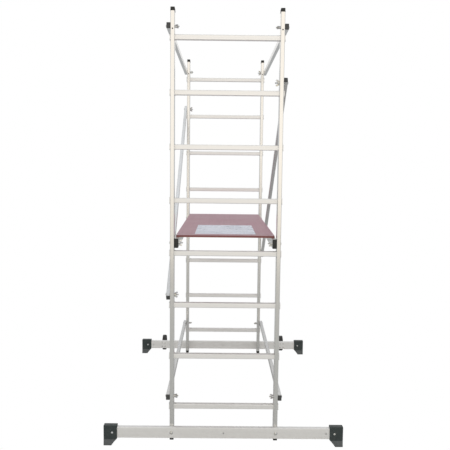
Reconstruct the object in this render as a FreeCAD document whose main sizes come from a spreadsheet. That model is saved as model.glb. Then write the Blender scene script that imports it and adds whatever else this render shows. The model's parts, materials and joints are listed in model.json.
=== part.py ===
import FreeCAD, Part
import math
import os
import re
import Sketcher

# Knock-down tower scaffold: two ladders, two stabiliser beams on plastic feet, two transport
# wheels, a wooden deck between the ladders, and six bracing tubes held by wing nuts.
# Millimetres. X runs across the ladders, Y from the front ladder to the rear one, Z up.
# The origin is on the ground, at the centre of the whole object's outline.

SIZES = [
    ("stile_spacing", 564, "centre to centre of a ladder's two stiles"),
    ("ladder_spacing", 1543, "middle of the front ladder to the middle of the rear one"),
    ("stile_width", 22, "stile tube, across the ladder"),
    ("stile_depth", 50, "stile tube, through the ladder"),
    ("stile_wall", 1.8, "wall of the stiles and deck rails"),
    ("tube_corner", 3, "outer corner radius of stiles, deck rails and beams"),
    ("stile_base", 38, "ground to the lower end of the stile tubes"),
    ("stile_head", 129, "stile tube above the top rung's centre line"),
    ("lowest_rung", 203, "ground to the lowest rung's centre line"),
    ("rung_pitch", 280, "rung to rung"),
    ("rung_count", 8, "rungs on each ladder"),
    ("rung_size", 27, "rung tube, both ways"),
    ("rung_wall", 1.6, "wall of a rung"),
    ("rung_corner", 4, "outer corner radius of a rung"),
    ("rung_fit", 0.1, "gap round a rung in the stile's opening"),
    ("bead_rise", 2, "swaged bead inside the stile, above the rung's faces"),
    ("bead_length", 2.5, "length of that bead"),
    ("flare_rise", 3, "flared rung end outside the stile, above the rung's faces"),
    ("flare_length", 4.5, "length of the flared end"),
    ("groove_width", 1.6, "one groove of the ribbed tread"),
    ("groove_depth", 0.7, "depth of a tread groove"),
    ("groove_pitch", 3.6, "groove to groove"),
    ("groove_count", 5, "grooves on a tread"),
    ("pin_hole", 7.5, "free hole through each stile near its top"),
    ("pin_rise", 40, "top rung's centre line up to the free hole"),
    ("cap_head", 16, "stile's cap beyond its lip"),
    ("cap_lip", 3, "thickness of that cap's lip"),
    ("cap_overhang", 1, "the lip beyond the stile's faces"),
    ("cap_rounding", 2.5, "rounded edge round the cap's end"),
    ("plug_length", 18, "plug of a stile's cap inside the tube"),
    ("plug_end_gap", 3, "plug of a bolted tube's cap to the bolt hole"),
    ("plug_fit", 0.15, "gap round a plug in its tube"),
    ("beam_length", 1283, "stabiliser beam tube"),
    ("beam_height", 60, "beam tube, upright"),
    ("beam_depth", 25, "beam tube, front to rear"),
    ("beam_wall", 2, "wall of a beam"),
    ("beam_base", 40, "ground to a beam's underside"),
    ("spare_hole", 7, "free holes through a beam"),
    ("spare_hole_inset", 19, "foot's inner edge to the beam's off-centre free hole"),
    ("foot_length", 72.5, "foot, along the beam"),
    ("foot_end_wall", 5, "foot wall over the beam's end"),
    ("foot_wall", 3.5, "foot wall in front of and behind the beam"),
    ("foot_roof", 10, "foot above the beam"),
    ("foot_fit", 0.2, "gap round the beam in the foot"),
    ("foot_heel", 30, "length cut away at the foot's inner lower corner"),
    ("foot_floor", 2.8, "foot under the beam, at that corner"),
    ("foot_flare", 4, "sole beyond the foot's upper part, each way"),
    ("foot_sole", 5, "upright edge of the sole"),
    ("foot_rounding", 2.5, "rounded edges of a foot"),
    ("foot_rivet_inset", 46, "foot rivet from the foot's outer end"),
    ("rivet_size", 6, "foot rivet's shank"),
    ("rivet_head_width", 12, "foot rivet's head"),
    ("rivet_head_rise", 3, "height of that head"),
    ("rivet_clearance", 0.2, "gap beside a rivet's shank, on the diameter"),
    ("wheel_inset", 99, "foot's inner edge to the wheel's middle"),
    ("wheel_radius", 60, "outer radius of the tyre"),
    ("tyre_width", 30, "tyre, along the axle"),
    ("tyre_height", 18, "radial height of the tyre's section"),
    ("tyre_corner", 6, "corner radius of the tyre's section"),
    ("tyre_gap", 0.05, "gap between tyre and rim"),
    ("tread_width", 2, "one groove round the tyre"),
    ("tread_depth", 1.5, "depth of that groove"),
    ("tread_pitch", 6, "groove to groove"),
    ("tread_count", 3, "grooves round the tyre"),
    ("ground_clearance", 3, "ground to the tyre while the tower stands on its feet"),
    ("tyre_clearance", 5.5, "tyre to the bracket's back plate"),
    ("rim_inset", 2, "tyre's side to the rim's side"),
    ("rim_height", 6, "radial height of the rim"),
    ("web_width", 8, "hub's web, along the axle"),
    ("web_overlap", 1, "web let into the boss and into the rim"),
    ("web_hole", 13, "lightening hole in the web"),
    ("web_hole_count", 6, "lightening holes in a web"),
    ("boss_overhang", 2, "boss beyond the tyre, each side"),
    ("boss_radius", 11, "outer radius of the boss"),
    ("axle_size", 10, "wheel axle's diameter"),
    ("axle_play", 0.05, "radial running gap of the hub on its axle"),
    ("axle_head_width", 16, "axle's head"),
    ("axle_head_rise", 3, "height of that head"),
    ("axle_tail", 4, "axle beyond the bracket at its ring end"),
    ("ring_thickness", 1.5, "axle's retaining ring"),
    ("hub_side_gap", 1, "boss to bracket ear, each side"),
    ("bracket_plate", 3, "sheet thickness of a wheel bracket"),
    ("bracket_height", 50, "back plate of a wheel bracket"),
    ("ear_height", 28, "bracket ear, rounded about the axle"),
    ("bracket_rivet_size", 5, "bracket rivet's shank"),
    ("bracket_rivet_head", 10, "bracket rivet's head"),
    ("bracket_rivet_rise", 2.5, "height of that head"),
    ("rivet_ear_gap", 1, "bracket rivet's head to the ear beside it"),
    ("bracket_rivet_offset", 14, "rivet rows above and below the beam's middle"),
    ("deck_rung", 4, "rung under the deck rails, counted from the ground"),
    ("deck_end_gap", 18.5, "deck to stile at each end"),
    ("deck_side_gap", 5, "deck to stile at each side"),
    ("deck_thickness", 11, "plywood deck"),
    ("deck_corner", 8, "corner radius of the deck"),
    ("rail_cap", 4, "plate of a deck rail's end cap"),
    ("cross_height", 25, "cross member under the deck"),
    ("cross_depth", 40, "cross member, front to rear"),
    ("cross_wall", 2, "wall of a cross member"),
    ("cross_inset", 328, "deck's end to the first cross member's middle"),
    ("cross_count", 3, "cross members"),
    ("screw_head", 9, "countersunk deck screw's head"),
    ("screw_size", 4.8, "deck screw's shank"),
    ("screw_length", 22, "deck screw, over all"),
    ("screw_inset", 48, "deck's end to its first screw"),
    ("screw_count", 5, "screws along each deck rail"),
    ("label_width", 336, "blank notice film on the deck, across"),
    ("label_length", 505, "blank notice film, front to rear"),
    ("label_thickness", 0.3, "notice film, let into the deck so that it lies flush"),
    ("label_fit", 0.2, "gap round the film in its recess"),
    ("label_margin", 68, "deck's front edge to the film"),
    ("bar_width", 20, "bracing tube, across"),
    ("bar_height", 30, "bracing tube, the tall way"),
    ("bar_wall", 1.5, "wall of a bracing tube"),
    ("bar_corner", 2.5, "outer corner radius of a bracing tube"),
    ("bar_overhang", 25, "bolt to the end of a bracing tube's cap"),
    ("bar_cap", 3, "plate of a bracing tube's cap"),
    ("brace_rise", 55, "a rung's centre line to the bolt above it"),
    ("low_brace_rung", 3, "rung under a diagonal's lower bolt"),
    ("high_brace_rung", 7, "rung under a diagonal's upper bolt"),
    ("bolt_size", 8, "bolt shank"),
    ("bolt_clearance", 0.4, "bolt hole over bolt, on the diameter"),
    ("bolt_tail", 23, "shank beyond the tubes, for washer and wing nut"),
    ("beam_bolt_tail", 9, "shank beyond the stile, for the plain nut"),
    ("bolt_head_width", 20, "domed bolt head"),
    ("bolt_head_rise", 5, "height of that head"),
    ("washer_width", 16, "washer's outer diameter"),
    ("washer_thickness", 1.6, "washer"),
    ("hex_width", 13, "plain nut, across its flats"),
    ("hex_height", 6.5, "plain nut"),
    ("nut_play", 0.06, "radial gap of a wing nut on its bolt"),
    ("nut_gap", 0.1, "wing nut to washer"),
    ("nut_width", 15, "wing nut's round body"),
    ("nut_height", 9, "wing nut's round body"),
    ("nut_straight", 3, "straight part of that body, at its seat"),
    ("nut_taper", 1.5, "body's radius less at its far end"),
    ("nut_first_turn", 20, "how far the first wing nut is turned, in degrees"),
    ("nut_turn_step", 37, "turn from one wing nut to the next"),
    ("wing_reach", 13, "bolt's axis to the middle of a wing's round end"),
    ("wing_lift", 12, "that middle above the nut's seat"),
    ("wing_radius", 5, "round end of a wing"),
    ("wing_thickness", 3, "a wing"),
]
ALIASES = {alias for alias, number, meaning in SIZES}

ENDS = {"front": -1, "rear": 1}
SIDES = {"left": -1, "right": 1}
UP = FreeCAD.Vector(0, 0, 1)
ACROSS = FreeCAD.Vector(1, 0, 0)
ALONG = FreeCAD.Vector(0, 1, 0)
ORIGIN = (-1, 1)
X_AXIS_LINE = -1
QUARTER_TURN = 90
HALF_TURN = 180
FULL_TURN = 360
TOLERANCE = 0.01

# Places that several pieces share, as formulas of the sizes above.
TOP_RUNG = "(lowest_rung + (rung_count - 1) * rung_pitch)"
STILE_TOP = f"({TOP_RUNG} + stile_head)"
BOLT_HOLE = "(bolt_size + bolt_clearance)"
STILE_X = "(stile_spacing / 2)"
STILE_INSIDE = "(stile_spacing / 2 - stile_width / 2)"
STILE_OUTSIDE = "(stile_spacing / 2 + stile_width / 2)"
LADDER_Y = "(ladder_spacing / 2)"
BAR_X = f"({STILE_OUTSIDE} + bar_width / 2)"
RAIL_X = f"({STILE_INSIDE} - stile_width / 2)"
RAIL_INSIDE = f"({STILE_INSIDE} - stile_width)"
BEAM_Y = f"({LADDER_Y} + stile_depth / 2 + beam_depth / 2)"
BEAM_OUTSIDE = f"({BEAM_Y} + beam_depth / 2)"
BEAM_Z = "(beam_base + beam_height / 2)"
FOOT_OUTER = "(beam_length / 2 + foot_end_wall)"
FOOT_INNER = f"({FOOT_OUTER} - foot_length)"
HEEL_TOP = "(beam_base - foot_fit - foot_floor)"
FOOT_DEPTH = "(beam_depth + 2 * foot_fit + 2 * foot_wall)"
FOOT_RIVET_X = f"({FOOT_OUTER} - foot_rivet_inset)"
AXLE_Z = "(wheel_radius + ground_clearance)"
AXLE_REACH = "(bracket_plate + tyre_clearance + wheel_radius)"
WHEEL_X = f"({FOOT_INNER} - wheel_inset)"
WHEEL_Y = f"({BEAM_OUTSIDE} + {AXLE_REACH})"
BOSS_WIDTH = "(tyre_width + 2 * boss_overhang)"
EAR_GAP = f"({BOSS_WIDTH} + 2 * hub_side_gap)"
BRACKET_WIDTH = f"({EAR_GAP} + 2 * bracket_plate)"
RIVET_ROW = f"({EAR_GAP} - bracket_rivet_head - 2 * rivet_ear_gap)"
FRONT_REACH = f"({BEAM_Y} + {FOOT_DEPTH} / 2 + foot_flare)"
REAR_REACH = f"({WHEEL_Y} + wheel_radius)"
TOWER_Y = f"(({FRONT_REACH} - {REAR_REACH}) / 2)"
DIAGONAL_RISE = "((high_brace_rung - low_brace_rung) * rung_pitch)"
DIAGONAL_SPAN = f"sqrt(ladder_spacing ^ 2 + {DIAGONAL_RISE} ^ 2)"


def bolt_height(rung):
    """Height of the bolts above one rung, counted from the ground."""
    return f"(lowest_rung + ({rung} - 1) * rung_pitch + brace_rise)"


STRUT_Z = bolt_height("1")
DECK_RAIL_Z = bolt_height("deck_rung")
GUARD_RAIL_Z = bolt_height("rung_count")
LOW_BRACE_Z = bolt_height("low_brace_rung")
HIGH_BRACE_Z = bolt_height("high_brace_rung")
DECK_UNDERSIDE = f"({DECK_RAIL_Z} + stile_depth / 2)"
DECK_LENGTH = "(ladder_spacing - stile_depth - 2 * deck_end_gap)"
CROSS_PITCH = f"(({DECK_LENGTH} - 2 * cross_inset) / (cross_count - 1))"
SCREW_PITCH = f"(({DECK_LENGTH} - 2 * screw_inset) / (screw_count - 1))"
LABEL_OFFSET = f"({DECK_LENGTH} / 2 - label_margin - label_length / 2)"

doc = FreeCAD.newDocument("tower_scaffold")
sheet = doc.addObject("Spreadsheet::Sheet", "Sizes")
for row, (alias, number, meaning) in enumerate(SIZES, start=1):
    sheet.set(f"A{row}", alias)
    sheet.set(f"B{row}", str(number))
    sheet.set(f"C{row}", meaning)
    sheet.setAlias(f"B{row}", alias)
doc.recompute()

nodes = []


def formula(text):
    """The text with each size's name pointing at its cell."""
    return re.sub(r"[a-z_]+", lambda found: f"Sizes.{found[0]}" if found[0] in ALIASES else found[0], text)


def bind(thing, name, text):
    thing.setExpression(name, formula(text))


def value(text):
    return float(sheet.evalExpression(formula(text)))


def place(thing, x, y, z, turn=0, axis=UP):
    """Puts a piece at a point whose y counts from the middle between the ladders."""
    thing.Placement = FreeCAD.Placement(FreeCAD.Vector(), FreeCAD.Rotation(axis, turn))
    bind(thing, "Placement.Base.x", x)
    bind(thing, "Placement.Base.y", f"{TOWER_Y} + {y}")
    bind(thing, "Placement.Base.z", z)


def new_body(label, is_node=True):
    body = doc.addObject("PartDesign::Body", label)
    body.Label = label
    body.AllowCompound = True
    if is_node:
        nodes.append(body)
    return body


def origin_feature(body, role):
    return next(feature for feature in body.Origin.OriginFeatures if feature.Role == role)


def new_sketch(body, plane, name, along_x="0", along_y="0", lift="0"):
    """A sketch on one of the body's own planes, with its origin moved in and off that plane."""
    sketch = body.newObject("Sketcher::SketchObject", f"{body.Label}_{name}")
    sketch.AttachmentSupport = [(origin_feature(body, plane), "")]
    sketch.MapMode = "FlatFace"
    bind(sketch, "AttachmentOffset.Base.x", along_x)
    bind(sketch, "AttachmentOffset.Base.y", along_y)
    bind(sketch, "AttachmentOffset.Base.z", lift)
    return sketch


def dimension(sketch, kind, places, text):
    """A dimension whose datum is a formula."""
    index = sketch.addConstraint(Sketcher.Constraint(kind, *places, value(text)))
    name = f"size_{index}"
    sketch.renameConstraint(index, name)
    bind(sketch, f"Constraints.{name}", text)


def tie(sketch, kind, *places):
    sketch.addConstraint(Sketcher.Constraint(kind, *places))


def draw_circle(sketch, diameter, x="0", y="0"):
    centre = FreeCAD.Vector(value(x), value(y), 0)
    circle = sketch.addGeometry(Part.Circle(centre, UP, value(diameter) / 2), False)
    dimension(sketch, "DistanceX", (*ORIGIN, circle, 3), x)
    dimension(sketch, "DistanceY", (*ORIGIN, circle, 3), y)
    dimension(sketch, "Diameter", (circle,), diameter)


def draw_box(sketch, width, height, radius):
    """A rectangle with rounded corners, centred on the sketch's origin."""
    half_x = value(width) / 2
    half_y = value(height) / 2
    round_by = value(radius)
    inner_x = half_x - round_by
    inner_y = half_y - round_by
    corners = [(inner_x, -inner_y), (inner_x, inner_y), (-inner_x, inner_y), (-inner_x, -inner_y)]
    outward = [(0, -1), (1, 0), (0, 1), (-1, 0)]
    lines = []
    arcs = []
    for side in range(4):
        shift = FreeCAD.Vector(*outward[side], 0) * round_by
        start = FreeCAD.Vector(*corners[side - 1], 0) + shift
        stop = FreeCAD.Vector(*corners[side], 0) + shift
        lines.append(sketch.addGeometry(Part.LineSegment(start, stop), False))
    for corner in range(4):
        circle = Part.Circle(FreeCAD.Vector(*corners[corner], 0), UP, round_by)
        begin = math.radians(QUARTER_TURN * (corner - 1))
        arc = Part.ArcOfCircle(circle, begin, begin + math.radians(QUARTER_TURN))
        arcs.append(sketch.addGeometry(arc, False))
    for corner in range(4):
        tie(sketch, "Tangent", lines[corner], 2, arcs[corner], 1)
        tie(sketch, "Tangent", arcs[corner], 2, lines[(corner + 1) % 4], 1)
        tie(sketch, ("Horizontal", "Vertical")[corner % 2], lines[corner])
    for arc in arcs[1:]:
        tie(sketch, "Equal", arcs[0], arc)
    tie(sketch, "Symmetric", arcs[0], 3, arcs[2], 3, *ORIGIN)
    dimension(sketch, "Radius", (arcs[0],), radius)
    dimension(sketch, "DistanceX", (lines[3], 1, lines[1], 1), width)
    dimension(sketch, "DistanceY", (lines[0], 1, lines[2], 1), height)


def draw_polygon(sketch, points):
    """A closed outline of straight lines through points given as pairs of formulas."""
    corners = [FreeCAD.Vector(value(x), value(y), 0) for x, y in points]
    count = len(corners)
    lines = []
    for index in range(count):
        line = Part.LineSegment(corners[index], corners[(index + 1) % count])
        lines.append(sketch.addGeometry(line, False))
    for index in range(count):
        tie(sketch, "Coincident", lines[index], 2, lines[(index + 1) % count], 1)
        dimension(sketch, "DistanceX", (*ORIGIN, lines[index], 1), points[index][0])
        dimension(sketch, "DistanceY", (*ORIGIN, lines[index], 1), points[index][1])


def draw_rectangle(sketch, width, height):
    half_x = f"({width}) / 2"
    half_y = f"({height}) / 2"
    draw_polygon(sketch, [
        (f"0 - {half_x}", f"0 - {half_y}"),
        (half_x, f"0 - {half_y}"),
        (half_x, half_y),
        (f"0 - {half_x}", half_y),
    ])


def draw_dome(sketch, width, rise):
    """Half the section of a domed head that stands on the sketch's upright axis."""
    radius = value(width) / 2
    height = value(rise)
    ball = (radius ** 2 + height ** 2) / (2 * abs(height))
    middle = FreeCAD.Vector(height - math.copysign(ball, height), 0, 0)
    rim = FreeCAD.Vector(0, radius, 0)
    crown = FreeCAD.Vector(height, 0, 0)
    rim_angle = math.atan2(radius, -middle.x)
    crown_angle = math.atan2(0, height - middle.x)
    angles = sorted((rim_angle, crown_angle))
    arc = Part.ArcOfCircle(Part.Circle(middle, UP, ball), *angles)
    seat = sketch.addGeometry(Part.LineSegment(FreeCAD.Vector(), rim), False)
    dome = sketch.addGeometry(arc, False)
    axis = sketch.addGeometry(Part.LineSegment(crown, FreeCAD.Vector()), False)
    rim_end = 1 + angles.index(rim_angle)
    tie(sketch, "Coincident", seat, 1, *ORIGIN)
    tie(sketch, "Coincident", axis, 2, *ORIGIN)
    tie(sketch, "Coincident", seat, 2, dome, rim_end)
    tie(sketch, "Coincident", axis, 1, dome, 3 - rim_end)
    tie(sketch, "Vertical", seat)
    tie(sketch, "Horizontal", axis)
    tie(sketch, "PointOnObject", dome, 3, X_AXIS_LINE)
    dimension(sketch, "DistanceY", (*ORIGIN, seat, 2), f"({width}) / 2")
    dimension(sketch, "DistanceX", (*ORIGIN, axis, 1), rise)


def pad(body, sketch, length, centred=False, backwards=False):
    feature = body.newObject("PartDesign::Pad", f"{sketch.Name}_pad")
    feature.Profile = sketch
    feature.Midplane = centred
    feature.Reversed = backwards
    bind(feature, "Length", length)
    return feature


def pocket_through(body, sketch):
    """Cuts the profile right through the body, both ways from the sketch."""
    feature = body.newObject("PartDesign::Pocket", f"{sketch.Name}_pocket")
    feature.Profile = sketch
    feature.Type = "ThroughAll"
    feature.Midplane = True
    return feature


def pocket_blind(body, sketch, length, backwards):
    feature = body.newObject("PartDesign::Pocket", f"{sketch.Name}_pocket")
    feature.Profile = sketch
    feature.Reversed = backwards
    bind(feature, "Length", length)
    return feature


def revolve(body, sketch, kind="PartDesign::Revolution"):
    """Turns the profile about the body's own X axis, to add it or to cut it away."""
    feature = body.newObject(kind, f"{sketch.Name}_turned")
    feature.Profile = sketch
    feature.ReferenceAxis = (origin_feature(body, "X_Axis"), [""])
    feature.Angle = FULL_TURN
    return feature


def repeat(body, features, axis, pitch, count):
    """Copies features, or the whole body where none are named, along one of the body's axes."""
    pattern = body.newObject("PartDesign::LinearPattern", f"{body.Tip.Name}_row")
    if features:
        pattern.Originals = features
    else:
        pattern.TransformMode = "Whole shape"
    pattern.Direction = (origin_feature(body, axis), [""])
    pattern.Mode = "Spacing"
    bind(pattern, "Offset", pitch)
    bind(pattern, "Occurrences", count)
    body.Tip = pattern
    return pattern


def mirror(body, features, plane):
    feature = body.newObject("PartDesign::Mirrored", f"{features[0].Name}_mirrored")
    feature.Originals = features
    feature.MirrorPlane = (origin_feature(body, plane), [""])
    body.Tip = feature
    return feature


def round_edges(body, radius, chosen):
    """Rounds the edges of the body's last feature that a test picks out."""
    doc.recompute()
    base = body.Tip
    names = [f"Edge{index}" for index, edge in enumerate(base.Shape.Edges, start=1) if chosen(edge)]
    feature = body.newObject("PartDesign::Fillet", f"{body.Label}_rounding")
    feature.Base = (base, names)
    bind(feature, "Radius", radius)
    return feature


def group(label, placed):
    """One node of alike pieces: each entry is a template and its place."""
    links = []
    for index, (template, spot) in enumerate(placed, start=1):
        link = doc.addObject("App::Link", f"{label}_{index}")
        link.LinkedObject = template
        place(link, *spot)
        links.append(link)
    compound = doc.addObject("Part::Compound", label)
    compound.Label = label
    compound.Links = links
    nodes.append(compound)
    return links


def hollow(body, plane, width, height, wall, corner, length, centred):
    """A straight tube with rounded corners, along the plane's normal."""
    sketch = new_sketch(body, plane, "section")
    draw_box(sketch, width, height, corner)
    draw_box(sketch, f"({width} - 2 * {wall})", f"({height} - 2 * {wall})", f"({corner} - {wall} / 2)")
    return pad(body, sketch, length, centred)


def add_plug(body, plane, width, height, wall, corner, length, lift="0", backwards=False):
    """The plug of a cap, which fits inside a tube of the given section."""
    sketch = new_sketch(body, plane, "plug", lift=lift)
    inner_width = f"({width} - 2 * {wall} - 2 * plug_fit)"
    inner_height = f"({height} - 2 * {wall} - 2 * plug_fit)"
    draw_box(sketch, inner_width, inner_height, f"({corner} - {wall} / 2)")
    return pad(body, sketch, length, backwards=backwards)


# Ladders ------------------------------------------------------------------------------------

def make_stile(end, side):
    """Upright tube with an opening for each rung and a hole for each bolt."""
    body = new_body(f"{end}_{side}_stile")
    hollow(body, "XY_Plane", "stile_width", "stile_depth", "stile_wall", "tube_corner",
           f"({STILE_TOP} - stile_base)", centred=False)

    opening = new_sketch(body, "YZ_Plane", "rung_opening", along_y="lowest_rung - stile_base")
    draw_box(opening, "(rung_size + 2 * rung_fit)", "(rung_size + 2 * rung_fit)", "(rung_corner + rung_fit)")
    repeat(body, [pocket_through(body, opening)], "Z_Axis", "rung_pitch", "rung_count")

    climbs = ENDS[end] * SIDES[side] > 0
    brace_z = LOW_BRACE_Z if climbs else HIGH_BRACE_Z
    across = new_sketch(body, "YZ_Plane", "side_holes", along_y="0 - stile_base")
    for height in (STRUT_Z, DECK_RAIL_Z, GUARD_RAIL_Z, brace_z):
        draw_circle(across, BOLT_HOLE, y=height)
    pocket_through(body, across)

    through = new_sketch(body, "XZ_Plane", "front_holes", along_y="0 - stile_base")
    draw_circle(through, BOLT_HOLE, y=BEAM_Z)
    draw_circle(through, "pin_hole", y=f"{TOP_RUNG} + pin_rise")
    pocket_through(body, through)
    place(body, f"{SIDES[side]} * {STILE_X}", f"{ENDS[end]} * {LADDER_Y}", "stile_base")


def make_rungs(end):
    """Square rungs with a ribbed tread, beaded inside the stiles and flared outside them."""
    body = new_body(f"{end}_rungs")
    length = f"2 * ({STILE_OUTSIDE} + flare_length)"
    hollow(body, "YZ_Plane", "rung_size", "rung_size", "rung_wall", "rung_corner", length, centred=True)
    collars = (
        ("bead", "bead_rise", "bead_length", f"{STILE_INSIDE} - bead_length"),
        ("flare", "flare_rise", "flare_length", STILE_OUTSIDE),
    )
    for name, rise, long, start in collars:
        sketch = new_sketch(body, "YZ_Plane", name, lift=start)
        draw_box(sketch, f"(rung_size + 2 * {rise})", f"(rung_size + 2 * {rise})", f"(rung_corner + {rise})")
        middle = "(rung_size - rung_wall)"
        draw_box(sketch, middle, middle, "(rung_corner - rung_wall / 2)")
        mirror(body, [pad(body, sketch, long)], "YZ_Plane")

    groove = new_sketch(body, "YZ_Plane", "groove", along_x="0 - (groove_count - 1) * groove_pitch / 2",
                        along_y="rung_size / 2")
    draw_rectangle(groove, "groove_width", "2 * groove_depth")
    cut = body.newObject("PartDesign::Pocket", f"{groove.Name}_pocket")
    cut.Profile = groove
    cut.Midplane = True
    bind(cut, "Length", f"2 * ({STILE_INSIDE} - bead_length)")
    repeat(body, [cut], "Y_Axis", "groove_pitch", "groove_count")
    repeat(body, [], "Z_Axis", "rung_pitch", "rung_count")
    place(body, "0", f"{ENDS[end]} * {LADDER_Y}", "lowest_rung")


def make_stile_caps():
    """The same moulded cap closes both ends of every stile."""
    body = new_body("stile_cap_pattern", is_node=False)
    lip = new_sketch(body, "XY_Plane", "lip")
    draw_box(lip, "(stile_width + 2 * cap_overhang)", "(stile_depth + 2 * cap_overhang)",
             "(tube_corner + cap_overhang)")
    pad(body, lip, "cap_lip")
    add_plug(body, "XY_Plane", "stile_width", "stile_depth", "stile_wall", "tube_corner", "plug_length",
             backwards=True)
    head = new_sketch(body, "XY_Plane", "head", lift="cap_lip")
    draw_box(head, "stile_width", "stile_depth", "tube_corner")
    pad(body, head, "cap_head")
    top = value("cap_lip + cap_head")
    round_edges(body, "cap_rounding", lambda edge: edge.BoundBox.ZMin > top - TOLERANCE)
    ends = (("stile_top_caps", STILE_TOP, 0), ("stile_base_caps", "stile_base", HALF_TURN))
    for label, height, turn in ends:
        group(label, [
            (body, (f"{side} * {STILE_X}", f"{end} * {LADDER_Y}", height, turn, ACROSS))
            for end in ENDS.values() for side in SIDES.values()
        ])


# Stabiliser beams, feet and wheels --------------------------------------------------------------

def make_beam(end):
    """Wide tube outside the ladder; the rear one is the same beam turned round, with wheels."""
    body = new_body(f"{end}_beam")
    hollow(body, "YZ_Plane", "beam_depth", "beam_height", "beam_wall", "tube_corner", "beam_length",
           centred=True)
    holes = new_sketch(body, "XZ_Plane", "holes")
    draw_circle(holes, "spare_hole")
    draw_circle(holes, "spare_hole", x=f"{-ENDS[end]} * ({FOOT_INNER} - spare_hole_inset)")
    for side in SIDES.values():
        draw_circle(holes, BOLT_HOLE, x=f"{side} * {STILE_X}")
        draw_circle(holes, "(rivet_size + rivet_clearance)", x=f"{side} * {FOOT_RIVET_X}")
    if end == "rear":
        for x, z in bracket_rivet_places():
            draw_circle(holes, "(bracket_rivet_size + rivet_clearance)", x=x, y=z)
    pocket_through(body, holes)
    place(body, "0", f"{ENDS[end]} * {BEAM_Y}", BEAM_Z)


def bracket_rivet_places():
    """Two rows of two rivets for each wheel bracket, from the rear beam's middle."""
    places = []
    for side in SIDES.values():
        for across in (-1, 1):
            for row in (-1, 1):
                x = f"{side} * {WHEEL_X} + {across} * {RIVET_ROW} / 2"
                places.append((x, f"{row} * bracket_rivet_offset"))
    return places


def make_foot(end, side):
    """Moulded shoe over the beam's end, cut away inside and flared to its sole."""
    body = new_body(f"{end}_{side}_foot")
    outline = new_sketch(body, "XZ_Plane", "outline")
    top = "(beam_base + beam_height + foot_roof)"
    draw_polygon(outline, [
        ("foot_heel", "0"),
        ("foot_length", "0"),
        ("foot_length", top),
        ("0", top),
        ("0", HEEL_TOP),
    ])
    pad(body, outline, FOOT_DEPTH, centred=True)

    flare = new_sketch(body, "YZ_Plane", "flare", lift="foot_heel")
    half = f"({FOOT_DEPTH} / 2)"
    wide = f"({FOOT_DEPTH} / 2 + foot_flare)"
    draw_polygon(flare, [
        (f"0 - {wide}", "0"),
        (wide, "0"),
        (wide, "foot_sole"),
        (half, HEEL_TOP),
        (f"0 - {half}", HEEL_TOP),
        (f"0 - {wide}", "foot_sole"),
    ])
    pad(body, flare, "(foot_length - foot_heel)")

    height = value(top)
    length = value("foot_length")
    heel = value(HEEL_TOP)

    def outer_edge(edge):
        box = edge.BoundBox
        on_roof = box.ZMin > height - TOLERANCE
        on_end = box.XMin > length - TOLERANCE and box.ZMin > heel - TOLERANCE
        return on_roof or on_end

    round_edges(body, "foot_rounding", outer_edge)

    socket = new_sketch(body, "YZ_Plane", "socket", along_y=BEAM_Z)
    draw_box(socket, "(beam_depth + 2 * foot_fit)", "(beam_height + 2 * foot_fit)",
             "(tube_corner + foot_fit)")
    pocket_blind(body, socket, "(foot_length - foot_end_wall)", backwards=True)

    hole = new_sketch(body, "XZ_Plane", "hole")
    draw_circle(hole, "(rivet_size + rivet_clearance)", x="foot_length - foot_rivet_inset", y=BEAM_Z)
    pocket_through(body, hole)
    turn = 0 if SIDES[side] > 0 else HALF_TURN
    place(body, f"{SIDES[side]} * {FOOT_INNER}", f"{ENDS[end]} * {BEAM_Y}", "0", turn)


def make_rivet(name, size, head_width, head_rise, grip):
    """Rivet along X with a domed head at each end; its outer head seats at x = 0."""
    body = new_body(name, is_node=False)
    shank = new_sketch(body, "YZ_Plane", "shank")
    draw_circle(shank, size)
    pad(body, shank, grip, backwards=True)
    heads = (("outer", "0", head_rise), ("inner", f"0 - {grip}", f"0 - {head_rise}"))
    for end, seat, rise in heads:
        head = new_sketch(body, "XY_Plane", f"{end}_head", along_x=seat)
        draw_dome(head, head_width, rise)
        revolve(body, head)
    return body


def make_foot_rivets():
    rivet = make_rivet("foot_rivet_pattern", "rivet_size", "rivet_head_width", "rivet_head_rise", FOOT_DEPTH)
    face = f"({BEAM_Y} + {FOOT_DEPTH} / 2)"
    group("foot_rivets", [
        (rivet, (f"{side} * {FOOT_RIVET_X}", f"{end} * {face}", BEAM_Z, end * QUARTER_TURN))
        for end in ENDS.values() for side in SIDES.values()
    ])


def make_beam_fasteners():
    """Bolts through beam and stile, with plain nuts inside the ladders."""
    bolt = make_bolt("beam_bolt_pattern", "(beam_depth + stile_depth + beam_bolt_tail)")
    nut = new_body("beam_nut_pattern", is_node=False)
    sketch = new_sketch(nut, "YZ_Plane", "hexagon")
    radius = "(hex_width / 2 / cos(30))"
    corners = []
    for step in range(6):
        angle = 60 * step + 30
        corners.append((f"{radius} * cos({angle})", f"{radius} * sin({angle})"))
    draw_polygon(sketch, corners)
    draw_circle(sketch, "bolt_size")
    pad(nut, sketch, "hex_height", backwards=True)
    spots = [(end, side) for end in ENDS.values() for side in SIDES.values()]
    inner_face = f"({LADDER_Y} - stile_depth / 2)"
    group("beam_bolts", [
        (bolt, (f"{side} * {STILE_X}", f"{end} * {BEAM_OUTSIDE}", BEAM_Z, end * QUARTER_TURN))
        for end, side in spots
    ])
    group("beam_nuts", [
        (nut, (f"{side} * {STILE_X}", f"{end} * {inner_face}", BEAM_Z, end * QUARTER_TURN))
        for end, side in spots
    ])


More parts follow.
